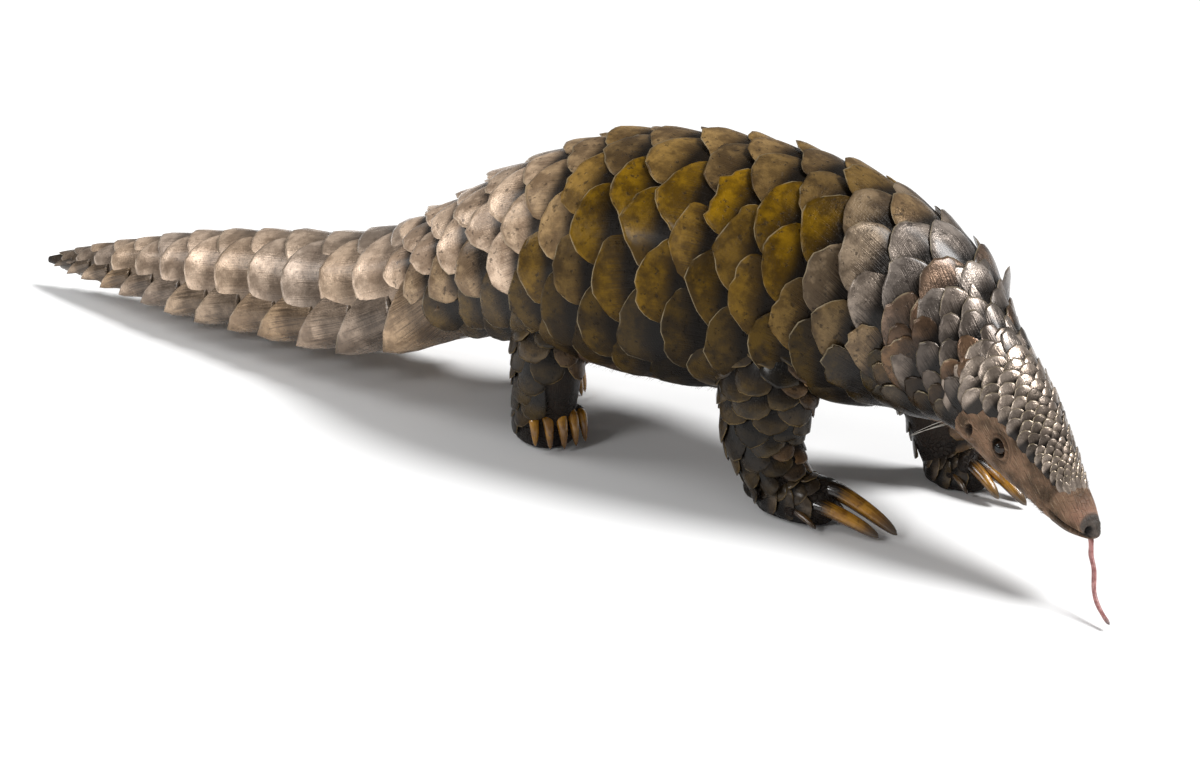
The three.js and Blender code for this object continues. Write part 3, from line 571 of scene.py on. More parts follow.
def eye_material():
    """A dark iris round a wide pupil. `gaze` is the angle from the middle of the cornea."""
    material, b, shader = start_material(
        "eye_glass", Coat_Weight=0.6, Coat_Roughness=0.03, Specular_IOR_Level=0.15
    )
    gaze = b.attribute("gaze")
    fleck = b.noise(b.place(), 900.0, 3.0)
    iris = b.mix(b.ramp(fleck, 0.35, 0.65), hue("33200f"), hue("180e08"))
    b.plug(shader, "Base Color", b.mix(b.ramp(gaze, 0.55, 0.62), hue("020202"), iris))
    b.plug(shader, "Roughness", b.ramp(gaze, 0.5, 0.9, 0.05, 0.16))
    return material


def tongue_material():
    """Wet pink flesh, greyer at the tip."""
    material, b, shader = start_material(
        "tongue_flesh", Subsurface_Weight=0.15, Subsurface_Scale=0.002, Coat_Weight=0.3, Coat_Roughness=0.2
    )
    at = b.place()
    flesh = b.mix(b.ramp(b.noise(at, 260.0, 3.0), 0.35, 0.65), hue("bd8884"), hue("8e5653"))
    b.plug(shader, "Base Color", b.mix(b.ramp(b.attribute("along"), 0.9, 1.0), flesh, hue("7d6a68")))
    b.plug(shader, "Roughness", b.ramp(b.noise(at, 500.0), 0.3, 0.7, 0.3, 0.5))
    b.plug(shader, "Normal", b.bump(b.noise(at, 1100.0, 2.0), 0.0003))
    return material


def hair_material():
    """Brown hair, or white where `pale` is 1."""
    material, b, shader = start_material("hair", Specular_IOR_Level=0.4)
    pale = b.attribute("pale")
    tint = b.mix(b.ramp(b.noise(b.place(), 700.0), 0.35, 0.65), hue("7d6552"), hue("4a3a2d"))
    b.plug(shader, "Base Color", b.mix(pale, tint, hue("e9e2d6")))
    b.plug(shader, "Roughness", b.ramp(pale, 0.0, 1.0, 0.6, 0.4))
    return material


SCALES = scale_material("horn_scales", metal=0.05, sheen=0.25, gloss=0.12)
TAIL_SCALES = scale_material(
    "tail_horn", blotches=0.6, specks=0.3, dark_root_and_shade=0.45, relief=0.0006, metal=0.15, sheen=0.25, gap_shade=0.45
)
HEAD_SCALES = scale_material(
    "head_horn", blotches=0.6, specks=0.35, dark_root_and_shade=0.7, relief=0.0005, metal=0.25, sheen=0.35
)
LIMB_SCALES = scale_material("leg_horn", rim="8c7650", metal=0.0, sheen=0.25, gloss=0.14)
HIDE = skin_material()
CLAW = claw_material()
EYE_GLASS = eye_material()
TONGUE_FLESH = tongue_material()
HAIR = hair_material()

# One horn plate, to be copied

PATCH = 0.003  # side of a hair's patch on the unwrap, and width of a scale's
WAIST, WAIST_FROM = 0.26, 0.42  # how much narrower a scale's root is, and where along it that begins
EDGE_REACH = 30  # mm from the free edge over which the weight `edge` goes from 0 to 1


def plate_master(across, rows):
    """A thin closed plate on a grid: x runs across it, y from its free edge to its root, z from 0 down to -1.

    `rows` are the shares of the length at which its rows lie. They are closer at the free edge, which curves.
    """
    deselect()
    bpy.ops.mesh.primitive_grid_add(
        x_subdivisions=across, y_subdivisions=len(rows) - 1, size=2, location=(0, 0, -1)
    )
    plate = bpy.context.object
    bpy.ops.object.mode_set(mode="EDIT")
    bpy.ops.mesh.select_all(action="SELECT")
    bpy.ops.mesh.extrude_region_move(TRANSFORM_OT_translate={"value": (0, 0, 1)})
    bpy.ops.mesh.select_all(action="SELECT")
    bpy.ops.mesh.normals_make_consistent(inside=False)
    bpy.ops.object.mode_set(mode="OBJECT")
    bpy.ops.object.transform_apply(location=True, rotation=True, scale=True)
    points = np.array([v.co for v in plate.data.vertices])
    faces = np.array([list(f.vertices) for f in plate.data.polygons])
    bpy.data.objects.remove(plate)
    return points, faces, rows


LARGE_PLATE = plate_master(14, [0, 0.05, 0.14, 0.3, 0.5, 0.7, 0.86, 1.0])
SMALL_PLATE = plate_master(6, [0, 0.08, 0.28, 0.52, 0.78, 1.0])
# what a scale has none of unless it is given
NONE_OF = dict.fromkeys(("keel", "bare", "olive", "grey", "rust", "dark"), 0.0)
WEIGHTS = ("tone", "olive", "grey", "rust", "dark", "satin", "lined")


def plates(name, master, kinds, lay, material, bake):
    """Copies of a plate, laid by `lay(scale, ahead, aside, out)` and joined into one piece.

    kinds holds one value for all scales, or one for each, of these:
    half (half width), long (root to tip), rise (height of the tip), thick, dome, curl and keel, in mm;
    fall, the mm of drop for each mm towards the root;
    depth, the share of the length that the free edge's curve takes; round and point, that curve's shape;
    skew, turn and tilt; chip, how ragged the edge is; seed; bare, 1 where nothing lies over the root;
    and the painted weights.
    """
    points, faces, rows = master
    count, per = len(kinds["half"]), len(points)
    of = {}
    for key, given in {**NONE_OF, **kinds}.items():
        of[key] = np.broadcast_to(np.reshape(np.asarray(given, float), (-1, 1)), (count, per))
    theta = points[None, :, 0] * math.pi / 2
    t = np.interp((points[:, 1] + 1) / 2, np.linspace(0, 1, len(rows)), rows)[None, :]
    # the free edge: its curve, its point and its chips
    rounded = 1 - np.cos(theta) ** of["round"]
    curve = of["depth"] * (rounded + of["point"] * (np.abs(np.sin(theta)) ** 1.2 - rounded))
    ragged = np.sin(2.2 * theta + of["seed"] * 31) + 0.6 * np.sin(5 * theta + of["seed"] * 9)
    ragged = ragged + 0.4 * np.sin(11 * theta + of["seed"] * 23)
    curve = curve + of["chip"] * ragged * np.cos(theta)
    # b runs from 0 at the free tip to 1 at the root, a from -1 to 1 across, narrower at the root
    b = curve + (1 - curve) * t
    a = np.sin(theta) * (1 - WAIST * np.clip((b - WAIST_FROM) / (1 - WAIST_FROM), 0, 1) ** 1.4)
    aside = (a + of["skew"] * (1 - b) ** 2) * of["half"]
    ahead = b * of["long"]
    pivot = 0.5 * of["long"]
    cos, sin = np.cos(of["turn"]), np.sin(of["turn"])
    turned_aside = cos * aside - sin * (ahead - pivot)
    turned_ahead = pivot + sin * aside + cos * (ahead - pivot)
    # the upper face, thinned towards the edges and gently uneven
    top = of["rise"] - of["fall"] * ahead
    top = top - of["dome"] * a**2 - of["curl"] * (1 - b) ** 3
    top = top + of["keel"] * np.clip(1 - np.abs(a) * 1.6, 0, 1) + of["tilt"] * a
    top = top - 0.35 * of["thick"] * np.interp(t, [0, 0.05, 0.14], [1.0, 0.25, 0.0])
    top = top + 0.25 * np.sin(3 * a + 4 * b + of["seed"] * 17) * np.minimum(1, of["thick"])
    x, level = points[None, :, 0], points[None, :, 2]
    thin = np.interp(t, [0, 0.16], [0.45, 1.0]) * np.interp(np.abs(x), [0.8, 1.0], [1.0, 0.6])
    out = top + level * of["thick"] * thin
    which = np.repeat(np.arange(count), per)
    placed = lay(which, turned_ahead.ravel(), turned_aside.ravel(), out.ravel())
    all_faces = (faces[None, :, :] + (np.arange(count) * per)[:, None, None]).reshape(-1, faces.shape[1])
    piece = mesh_piece(name, placed, all_faces, material)
    face_outward(piece)
    patch = PATCH * np.column_stack([a.ravel(), b.ravel()]) * 0.5
    uv_map(piece, "OFBake", np.repeat(bake, per, axis=0) + patch)
    on_plate = np.column_stack([aside.ravel() / 1000, ahead.ravel() / 1000])
    uv_map(piece, "plate", on_plate + of["seed"].ravel()[:, None])
    # 0 at the free tip to 1 at the root, lowered where the root is bare, so that such a root takes less
    # painted shade
    paint(piece, "along", (b * (1 - of["bare"])).ravel())
    paint(piece, "edge", ((b - curve) * of["long"] / EDGE_REACH).ravel())
    for key in WEIGHTS:
        paint(piece, key, of[key].ravel())


def ring_places(start, end, step):
    """Places of rings from start to past the end. The step is a length or a function of the place."""
    places = [start]
    while places[-1] < end:
        places.append(places[-1] + (step(places[-1]) if callable(step) else step))
    return np.array(places)


def tiles(places, columns):
    """Scales staggered like roof tiles: ring and column numbers, the tips' places and the rings' pace."""
    rings = range(len(places) - 2)
    i, j = np.array([(i, j) for i in rings for j in columns if (i + j) % 2 == 0]).T
    return i, j, places[i + 2], places[i + 2] - places[i + 1]


def either_side(half):
    return range(-half, half + 1)


def bake_place(s, angle):
    """A place of the body's skin on its unwrap: along from nose to tail, across from side to side."""
    turned = np.where(np.asarray(angle) > math.pi, np.asarray(angle) - 2 * math.pi, angle)
    return np.column_stack([np.asarray(s) / LENGTH, 0.5 + turned / (2 * math.pi)])


def body_plates(name, master, kinds, s_tip, reach_tip, material):
    """Scales of the head, trunk or tail, with tips s_tip mm from the nose and reach_tip mm from the ridge."""

    def lay(which, ahead, aside, out):
        s = s_tip[which] - ahead
        reach = reach_tip[which] + aside
        return body_point(s, body_angle(np.clip(s, 0, LENGTH), reach), out)

    bake = bake_place(s_tip, body_angle(s_tip, reach_tip))
    plates(name, master, kinds, lay, material, bake)


# Scales of the trunk

TRUNK_COLUMNS = 6  # from the ridge to each hem
TRUNK_FROM, TRUNK_TO = 150, 590
# distance from ring to ring at the neck, withers, ribs, haunch and rump
TRUNK_S = [mileage[7], mileage[8], mileage[10], mileage[12], mileage[14]]
TRUNK_STEP = [12, 15, 18.5, 15.5, 14.5]
TRUNK_RISE, HEM_RISE = 8.6, 4.0

# single scales that stand out from their neighbours: ring, column and what differs
PALE = {"olive": 0, "grey": 0, "dark": 0, "tone": 1.15, "satin": 1, "tilt": 1.5}
CURLED = {"half": 14, "curl": -4, "chip": 0.07, "olive": 0.55, "grey": 0, "tone": 1.0, "satin": 1, "lined": 1}
BROWN = {"rust": 0.9, "olive": 0, "grey": 0, "lined": 1.2, "satin": 1, "tone": 0.8}
ODD_SCALES = [
    (20, -4, PALE),
    (21, -3, {**PALE, "tone": 0.95}),
    (3, -5, CURLED),
    (2, -4, {**CURLED, "tilt": -3}),
    (0, 2, {"point": 1.0, "curl": -8}),
    (10, -2, {"chip": 0.1}),
    (0, -4, BROWN),
    (1, -5, BROWN),
]


def trunk_step(s):
    return np.interp(s, TRUNK_S, TRUNK_STEP)


def body_scales():
    """Large olive scales, grey and lined at the shoulders, tan at the hips and dark low on the flanks."""
    i, j, ring, pace = tiles(ring_places(TRUNK_FROM, TRUNK_TO, trunk_step), either_side(TRUNK_COLUMNS))
    draw = partial(scatter, i, j)
    pitch = hem_reach(ring) / TRUNK_COLUMNS
    s = ring + 0.12 * pace * draw(11)
    reach = hem_reach(ring) * j / TRUNK_COLUMNS + 0.07 * pitch * draw(12)
    angle = body_angle(s, reach)
    side = np.abs(np.where(angle > math.pi, angle - 2 * math.pi, angle))
    rise = TRUNK_RISE * np.minimum(1, 0.55 + (ring - 128) / 180) * (1 + 0.18 * draw(13))
    rise = np.where(np.abs(j) == TRUNK_COLUMNS, HEM_RISE, rise)
    pale = smooth(415, 535, s + 22 * draw(43))
    olive = smooth(195, 240, s) * (1 - pale * (1 - 0.75 * smooth(1.1, 1.7, side)))
    olive = olive * (0.8 + 0.2 * smooth(0.2, 0.8, side))
    grey = 1 - smooth(200, 262, s + 25 * draw(22))
    dark = 0.88 * smooth(1.3, 1.85, side) + 0.15 * smooth(0.3, 1, draw(24)) * (1 - smooth(430, 480, s))
    dark = dark + 0.6 * smooth(1.2, 1.6, side) * (1 - smooth(190, 240, s))
    satin = 0.35 * smooth(0.2, 0.8, draw(25)) + (1 - smooth(200, 260, s)) + smooth(450, 520, s)
    kinds = dict(
        half=pitch * 0.93 * (1 + 0.07 * draw(31)),
        long=pace * 2.75,
        rise=rise,
        fall=0.37 * rise / pace,
        depth=0.42 + 0.05 * draw(32),
        point=0.22 + 0.22 * draw(30),
        round=1.0 + 0.25 * draw(33),
        thick=1.3,
        dome=1.8 + 1.0 * draw(42),
        curl=-0.3 + 1.3 * draw(34),
        skew=0.2 * draw(35),
        turn=0.11 * draw(36),
        tilt=1.4 * draw(37),
        chip=0.02 + 0.03 * np.abs(draw(38)),
        lined=0.25 + 0.9 * np.maximum(grey, 0.4 * smooth(0.2, 0.6, draw(41))),
        seed=draw(39),
        tone=0.6 + 0.3 * draw(40) + 0.5 * pale + 0.05 * (1 - smooth(200, 240, s)),
        olive=np.clip(olive + 0.08 * draw(21), 0, 1),
        grey=grey,
        rust=np.where((s < 215) & (draw(23) > 0.45), 0.7, 0.0),
        dark=np.clip(dark, 0, 1),
        satin=np.clip(satin, 0, 1),
    )
    for odd_ring, odd_column, changes in ODD_SCALES:
        chosen = (i == odd_ring) & (j == odd_column)
        for key, changed in changes.items():
            kinds[key] = np.where(chosen, changed, kinds[key])
    body_plates("scales_trunk", LARGE_PLATE, kinds, s, reach, SCALES)


# Scales of the head and the collar

HEAD_COLUMNS, COLLAR_COLUMNS = 5, 8  # from the ridge to each hem
HEAD_FROM, HEAD_TO = 27, 132
COLLAR_FROM, COLLAR_TO = 118, 176


def head_step(s):
    return 3.5 + 2.2 * smooth(35, 115, s)


def head_scales():
    """Small grey scales in a cap from the snout to the nape, which ends short of the eyes."""
    i, j, ring, pace = tiles(ring_places(HEAD_FROM, HEAD_TO, head_step), either_side(HEAD_COLUMNS))
    draw = partial(scatter, i, j)
    pitch = hem_reach(ring) / HEAD_COLUMNS
    s = ring + 0.14 * pace * draw(51)
    reach = (hem_reach(ring) - 0.8 * pitch) * j / HEAD_COLUMNS + 0.1 * pitch * draw(52)
    rise = (2.3 + 1.0 * smooth(40, 110, s)) * (1 + 0.2 * draw(53))
    kinds = dict(
        half=pitch * 0.98 * (1 + 0.08 * draw(54)),
        long=pace * 2.7,
        rise=rise,
        fall=np.where(i <= 1, 0.42, 0.36) * rise / pace,
        bare=np.interp(i, [0, 1, 2, 4], [0.8, 0.75, 0.55, 0.0]),
        depth=0.42 + 0.04 * draw(55),
        point=0.2,
        lined=0.5,
        round=1.0 + 0.2 * draw(56),
        thick=0.7,
        dome=0.6,
        curl=0.1 + 0.3 * draw(63),
        keel=0.15,
        skew=0.15 * draw(57),
        turn=0.14 * draw(58),
        tilt=0.35 * draw(59),
        chip=0.01,
        seed=draw(60),
        tone=0.88 + 0.4 * draw(61),
        grey=0.8,
        dark=0.3 * smooth(0.3, 1, draw(62)),
        satin=1.0,
    )
    body_plates("scales_head", SMALL_PLATE, kinds, s, reach, HEAD_SCALES)


def collar_step(s):
    return 7.5 + 2.5 * smooth(130, 165, s)


def collar_scales():
    """Middling scales between the small ones of the head and the large ones of the shoulders."""
    i, j, ring, pace = tiles(ring_places(COLLAR_FROM, COLLAR_TO, collar_step), either_side(COLLAR_COLUMNS))
    draw = partial(scatter, i, j)
    pitch = hem_reach(ring) / COLLAR_COLUMNS
    s = ring + 0.16 * pace * draw(91)
    reach = hem_reach(ring) * j / COLLAR_COLUMNS + 0.1 * pitch * draw(92)
    side = np.abs(body_angle(s, reach))
    rise = (4.0 + 2.4 * smooth(130, 170, s)) * (1 + 0.2 * draw(93))
    kinds = dict(
        half=pitch * 0.98 * (1 + 0.1 * draw(95)),
        long=pace * 2.75,
        rise=rise,
        fall=0.36 * rise / pace,
        depth=0.42 + 0.05 * draw(96),
        point=0.15 + 0.15 * draw(97),
        round=1.0 + 0.25 * draw(98),
        thick=1.0,
        dome=1.2 + 0.5 * draw(99),
        curl=0.1 + 0.6 * draw(100),
        skew=0.2 * draw(101),
        turn=0.14 * draw(102),
        tilt=0.7 * draw(103),
        chip=0.012 + 0.02 * np.abs(draw(104)),
        seed=draw(105),
        tone=0.42 + 0.35 * draw(106),
        grey=1.0,
        rust=np.where(draw(94) > -0.25, 0.85, 0.15) * smooth(0.15, 0.5, side),
        dark=0.75 * smooth(1.35, 1.75, side) + 0.1,
        satin=0.6 + 0.4 * draw(107),
        lined=1.1,
    )
    body_plates("scales_collar", SMALL_PLATE, kinds, s, reach, HEAD_SCALES)


# Scales of the tail

TAIL_FROM, TAIL_TO, LAST_TIP = 578, LENGTH - 18, LENGTH - 2
TAIL_STEP, TAIL_EDGE = 23, 2.0
TAIL_AROUND, EDGE_COLUMN = 8, 2
EDGE_RISE, UNDER_RISE, UPPER_RISE = 9.5, 4.0, 8.4


def tail_taper(s):
    return np.sqrt(np.maximum(0.0, LENGTH - s) / (LENGTH - TAIL_FROM))


def tail_step(s):
    return TAIL_STEP * (0.2 + 0.8 * float(tail_taper(s)))


def tail_scales():
    """Tan scales all round the tail in eight columns, with a keeled and pointed one at each edge."""
    places = ring_places(TAIL_FROM, TAIL_TO, tail_step)
    i, column, ring, pace = tiles(places, range(TAIL_AROUND))
    half = TAIL_AROUND // 2
    j = (column + half) % TAIL_AROUND - half
    draw, draw_column = partial(scatter, i, j), partial(scatter, i, column)
    ring = np.minimum(ring, LAST_TIP)
    # two columns from the ridge to the edge of the tail, and two from there to the middle of the underside
    top, whole = girth_to(ring, TAIL_EDGE), girth_to(ring, math.pi)
    away = np.abs(j)
    edge, under = away == EDGE_COLUMN, away > EDGE_COLUMN
    reach = np.where(under, top + (away - EDGE_COLUMN) * (whole - top) / 2, away * top / 2)
    reach = np.where(j == -half, -whole, np.sign(j) * reach)
    pitch = np.where(edge, whole / 4, np.where(under, (whole - top) / 2, top / 2))
    s = ring + 0.12 * pace * draw_column(31)
    shrink = tail_taper(s)
    rise = np.where(edge, EDGE_RISE, np.where(under, UNDER_RISE, UPPER_RISE))
    rise = rise * shrink * (1 + 0.12 * draw_column(33))
    kinds = dict(
        half=pitch * np.where(edge, 0.96, 1.0),
        long=pace * 2.75,
        rise=rise,
        fall=0.34 * rise / pace,
        depth=np.where(edge, 0.72, 0.5) + 0.04 * draw(72),
        point=np.where(edge, 1.0, 0.4) + 0.08 * draw(70),
        round=1.05 + 0.12 * draw(73),
        thick=0.5 + 0.9 * shrink,
        dome=np.where(edge, 0.5, 4.2) * shrink,
        curl=np.where(edge, -4.0, 1.2) * shrink,
        keel=np.where(edge, 6.0, 0.8) * shrink,
        lined=np.where(edge, 0.9, 0.35),
        skew=0.08 * draw(74),
        turn=0.05 * draw(75),
        tilt=0.3 * draw(76) * shrink,
        chip=0.008,
        seed=draw(77),
        tone=1.1 + 0.2 * draw(78),
        olive=np.clip(np.where(edge, 0.55, 0.1) + 0.25 * draw(71), 0, 1) * 0.7,
        grey=0.3 + 0.3 * draw(79),
        rust=np.where(edge, 0.15, 0.05),
        dark=0.55 * smooth(930, 1010, s) + 0.35 * under,
        satin=1.0,
    )
    body_plates("scales_tail", LARGE_PLATE, kinds, s, reach, TAIL_SCALES)


# Limbs

# Knots of a right leg's line: x, y and z, half depth and half width there.
FORE_LIMB = [
    (-72, -54, 132, 30, 22),
    (-81, -58, 104, 34, 24),
    (-82, -59, 80, 35, 25),
    (-82, -60, 54, 31, 23),
    (-72, -60, 32, 24, 20),
    (-63, -60, 18, 19, 17),
]
FORE_LIMB_AHEAD = [
    (-34, -48, 132, 30, 22),
    (-26, -52, 104, 33, 24),
    (-13, -57, 80, 33, 24),
    (-4, -61, 54, 29, 22),
    (-1, -65, 34, 23, 19),
    (3, -69, 18, 19, 17),
]
HIND_LIMB = [
    (-262, -46, 120, 32, 22),
    (-262, -52, 92, 30, 24),
    (-262, -54, 68, 27, 23),
    (-263, -52, 44, 25, 21),
    (-265, -48, 22, 21, 20),
]
# Name, foot, side (1 is left), knots, how far the foot's end is moved along x, kind, ankle, heading in
# degrees and how long the foot is for its kind.
LIMBS = [
    ("foreleg_right", "forefoot_right", -1, FORE_LIMB, 0, "fore", (-64, -60), -2, 1.0),
    ("foreleg_left", "forefoot_left", 1, FORE_LIMB_AHEAD, 0, "fore", (5, 71), -8, 0.82),
    ("hindleg_right", "hindfoot_right", -1, HIND_LIMB, 0, "hind", (-268, -46), -26, 1.0),
    ("hindleg_left", "hindfoot_left", 1, HIND_LIMB, -52, "hind", (-320, 46), 20, 1.0),
]
# Middle, half size and heel in the foot's own frame, then for each claw: name, root, length, width, height,
# turn, drop, toe length. `bend` is the share of a claw's drop that comes from its arch, and `blunt` and
# `narrow` shape its end.
FEET = {
    "fore": {
        "middle": (9, -3, 12),
        "half": (32, 18.5, 20),
        "heel": ((-18, 6, 18), (10, 9, 11)),
        "bend": 0.4,
        "blunt": 7.0,
        "narrow": 0.3,
        "claws": [
            ("thumb", (19, -19, 13), 18, 7, 6, -15, 9, 0),
            ("second", (33, -15, 22), 32, 11, 11, -9, 16, 8),
            ("third", (37, -6, 24), 48, 14, 13.5, -4, 21, 10),
            ("fourth", (31, 5, 15), 46, 13.5, 12.5, -3, 12, 9),
            ("fifth", (19, 14, 10), 18, 7, 6, 11, 7, 0),
        ],
    },
    "hind": {
        "middle": (-2, -1, 14),
        "half": (25, 23, 21),
        "heel": None,
        "bend": 1.0,
        "blunt": 6.0,
        "narrow": 0.15,
        "claws": [
            ("first", (16, -20, 24), 8, 9, 8, -6, 20, 0),
            ("second", (18, -10.5, 26), 9, 9.5, 8.5, -3, 23, 0),
            ("third", (18, -0.5, 27), 9.5, 10, 9, 0, 24.5, 0),
            ("fourth", (15.5, 9, 26), 9, 9.5, 8.5, 5, 23, 0),
            ("fifth", (11, 17.5, 24), 8, 9, 8, 12, 19, 0),
        ],
    },
}
ROOTED = 7  # how far a claw's root runs back into its toe
LIMB_STEPS = 401


class Limb:
    """A leg's line from inside the trunk to the ankle, and its surface."""

    def __init__(self, spec):
        self.name, self.foot, self.side, line, step, self.kind, self.ankle, self.heading, self.reach = spec
        line = np.array(line, float)
        share = 0.4 + 0.6 * np.arange(len(line)) / (len(line) - 1)
        self.size = line[:, 3:]
        self.knots = np.column_stack([line[:, 0] + step * share, -self.side * line[:, 1], line[:, 2]])
        self.shares = np.linspace(0, 1, LIMB_STEPS)
        fine = self.at_parameter(self.shares)
        self.miles = np.concatenate([[0], np.cumsum(np.linalg.norm(np.diff(fine, axis=0), axis=1))])
        self.length = self.miles[-1]

    def at_parameter(self, q):
        """Centripetal spline through the knots."""
        pts = self.knots
        ends = np.vstack([2 * pts[0] - pts[1], pts, 2 * pts[-1] - pts[-2]])
        x = np.clip(q, 0, 1) * (len(pts) - 1)
        k = np.minimum(x.astype(int), len(pts) - 2)
        t = (x - k)[:, None]
        p0, p1, p2, p3 = ends[k], ends[k + 1], ends[k + 2], ends[k + 3]
        spans = (p1 - p0, p2 - p1, p3 - p2)
        d0, d1, d2 = (np.maximum(1e-4, np.linalg.norm(span, axis=1)[:, None] ** 0.5) for span in spans)
        t1 = ((p1 - p0) / d0 - (p2 - p0) / (d0 + d1) + (p2 - p1) / d1) * d1
        t2 = ((p2 - p1) / d1 - (p3 - p1) / (d1 + d2) + (p3 - p2) / d2) * d1
        c2 = -3 * p1 + 3 * p2 - 2 * t1 - t2
        c3 = 2 * p1 - 2 * p2 + t1 + t2
        return p1 + t1 * t + c2 * t * t + c3 * t**3

    def at_length(self, s):
        return self.at_parameter(np.interp(s, self.miles, self.shares))

    def surface(self, s, angle, out=0.0):
        """angle 0 faces outward, a quarter turn further faces forward."""
        s, angle, out = (np.ravel(v) for v in np.broadcast_arrays(s, angle, out))
        q = np.clip(s / self.length, 0, 1)
        on_line = q * self.length
        centre = self.at_length(on_line)
        below = self.at_length(np.minimum(self.length, on_line + 0.5))
        down = below - self.at_length(np.maximum(0, on_line - 0.5))
        down /= np.linalg.norm(down, axis=1)[:, None]
        fore = np.array([1.0, 0, 0]) - down * down[:, :1]
        fore /= np.linalg.norm(fore, axis=1)[:, None]
        outward = np.cross(down, fore)
        outward *= np.sign(outward[:, 1:2] * self.side)
        k = q * (len(self.size) - 1)
        deep, wide = (np.interp(k, np.arange(len(self.size)), self.size[:, c]) for c in (0, 1))
        past = (s - on_line)[:, None]
        return (
            centre
            + down * past
            + fore * (np.sin(angle) * (deep + out))[:, None]
            + outward * (np.cos(angle) * (wide + out))[:, None]
        )

    def on_floor(self, fx, fy, fz):
        """The foot's own frame: forward along its heading, outward, up."""
        turn = math.radians(self.heading)
        ahead = np.array([math.cos(turn), math.sin(turn), 0])
        outward = self.side * np.array([-math.sin(turn), math.cos(turn), 0])
        fx, fy, fz = (np.ravel(v) for v in np.broadcast_arrays(fx, fy, fz))
        origin = np.array([self.ankle[0], self.ankle[1], 0.0])
        return origin + np.outer(self.reach * fx, ahead) + np.outer(fy, outward) + np.outer(fz, [0, 0, 1.0])


legs = [Limb(spec) for spec in LIMBS]


def limb_bake(limb, turn, down):
    """The limbs' places on the unwrap: a column for each limb, `down` from its top."""
    return np.column_stack([0.05 + 0.2 * legs.index(limb) + 0.15 * turn / 4, down])


def limb_scales(limb, seed):
    """Dark, squarish scales down a leg, all but its inner side, browner where they face forward."""
    half, spread = 4, 2.0
    step = 9.6 if limb.kind == "fore" else 10.5
    places = ring_places(-0.12 * limb.length, 0.97 * limb.length, step)
    i, j, ring, _ = tiles(places, either_side(half))
    if limb.kind == "hind":
        # the hind feet carry their claws right in front of the shin, so no scale hangs over them
        clear = (j < 1) | (ring < 0.66 * limb.length)
        i, j, ring = i[clear], j[clear], ring[clear]

    def draw(number):
        return scatter(i, j, seed + number)

    s = ring + step * 0.14 * draw(0)
    turn = spread * j / half + 0.05 * draw(1)
    knot = np.clip(ring / limb.length, 0, 1) * (len(limb.size) - 1)
    size = np.interp(knot, np.arange(len(limb.size)), limb.size.mean(axis=1))
    width = size * spread / half * 0.95
    front = (turn > 0.6) & (draw(18) > -0.6)

    def lay(which, ahead, aside, out):
        return limb.surface(s[which] - ahead, turn[which] + aside / size[which], out)

    kinds = dict(
        half=width * 0.95 * (1 + 0.1 * draw(2)),
        long=step * 2.6,
        rise=5.2 + 0.9 * draw(3) - 1.2 * (np.abs(j) == half),
        fall=0.24,
        depth=0.32 + 0.06 * draw(4),
        point=0.1 + 0.2 * draw(15),
        lined=0.3,
        round=1.2 + 0.3 * draw(5),
        thick=1.2,
        dome=1.4 + 0.8 * draw(19),
        curl=0.2 + 0.6 * draw(6),
        skew=0.25 * draw(7),
        turn=0.16 * draw(8),
        tilt=0.7 * draw(9),
        chip=0.015 + 0.015 * np.abs(draw(16)),
        seed=draw(10),
        tone=0.55 + 0.5 * draw(11),
        olive=0.6,
        grey=0.1 + 0.1 * draw(12),
        rust=np.where(front, 0.8, 0.1) + 0.15 * draw(13),
        dark=np.where(front, 0.5, 0.93) + 0.07 * draw(14),
        satin=0.6 + 0.4 * draw(17),
    )
    bake = limb_bake(limb, turn, 0.02 + 0.1 * s / limb.length)
    plates(f"scales_{limb.name}", SMALL_PLATE, kinds, lay, LIMB_SCALES, bake)


def foot_scales(limb, seed):
    """Small scales on the back of a foot, their free edges towards the claws."""
    middle, half = FEET[limb.kind]["middle"], FEET[limb.kind]["half"]
    columns, spread, step = 3, 1.5, 6.6
    end = half[0] * (0.62 if limb.kind == "fore" else 0.2)
    i, j, tip, _ = tiles(ring_places(-half[0] * 0.9 + 0.7 * step, end, step), either_side(columns))

    def draw(number):
        return scatter(i, j, seed + number)

    x_tip = tip + 0.15 * step * draw(0)
    turn = spread * j / columns + 0.08 * draw(1)
    girth = 0.5 * (half[1] + half[2])

    def lay(which, ahead, aside, out):
        x = x_tip[which] - ahead
        a = turn[which] + aside / girth
        swell = np.sqrt(np.clip(1 - (np.abs(x) / (half[0] * 1.02)) ** 2.6, 0.02, 1))
        y = (half[1] * swell + out) * np.sign(np.sin(a)) * np.abs(np.sin(a)) ** 0.85
        z = (half[2] * swell + out) * np.sign(np.cos(a)) * np.abs(np.cos(a)) ** 0.85
        return limb.on_floor(middle[0] + x, middle[1] + y, np.maximum(0.4, middle[2] + z))

    kinds = dict(
        half=girth * spread / columns * (0.95 + 0.12 * draw(2)),
        long=step * 2.7,
        rise=1.9 + 0.5 * draw(3),
        fall=0.13,
        depth=0.36 + 0.05 * draw(4),
        point=0.15 + 0.2 * draw(5),
        round=0.95 + 0.25 * draw(6),
        thick=0.8,
        dome=0.3,
        curl=0.3 + 0.3 * draw(7),
        skew=0.2 * draw(8),
        turn=0.2 * draw(9),
        tilt=0.3 * draw(10),
        chip=0.02,
        seed=draw(11),
        tone=0.5 + 0.4 * draw(12),
        olive=0.2,
        grey=0.4 + 0.3 * draw(13),
        rust=0.15,
        dark=0.8 + 0.15 * draw(14),
        satin=0.8,
        lined=0.5,
    )
    bake = limb_bake(limb, turn, 0.15 + 0.1 * (x_tip + 40) / 80)
    plates(f"scales_{limb.foot}", SMALL_PLATE, kinds, lay, LIMB_SCALES, bake)


# Skin

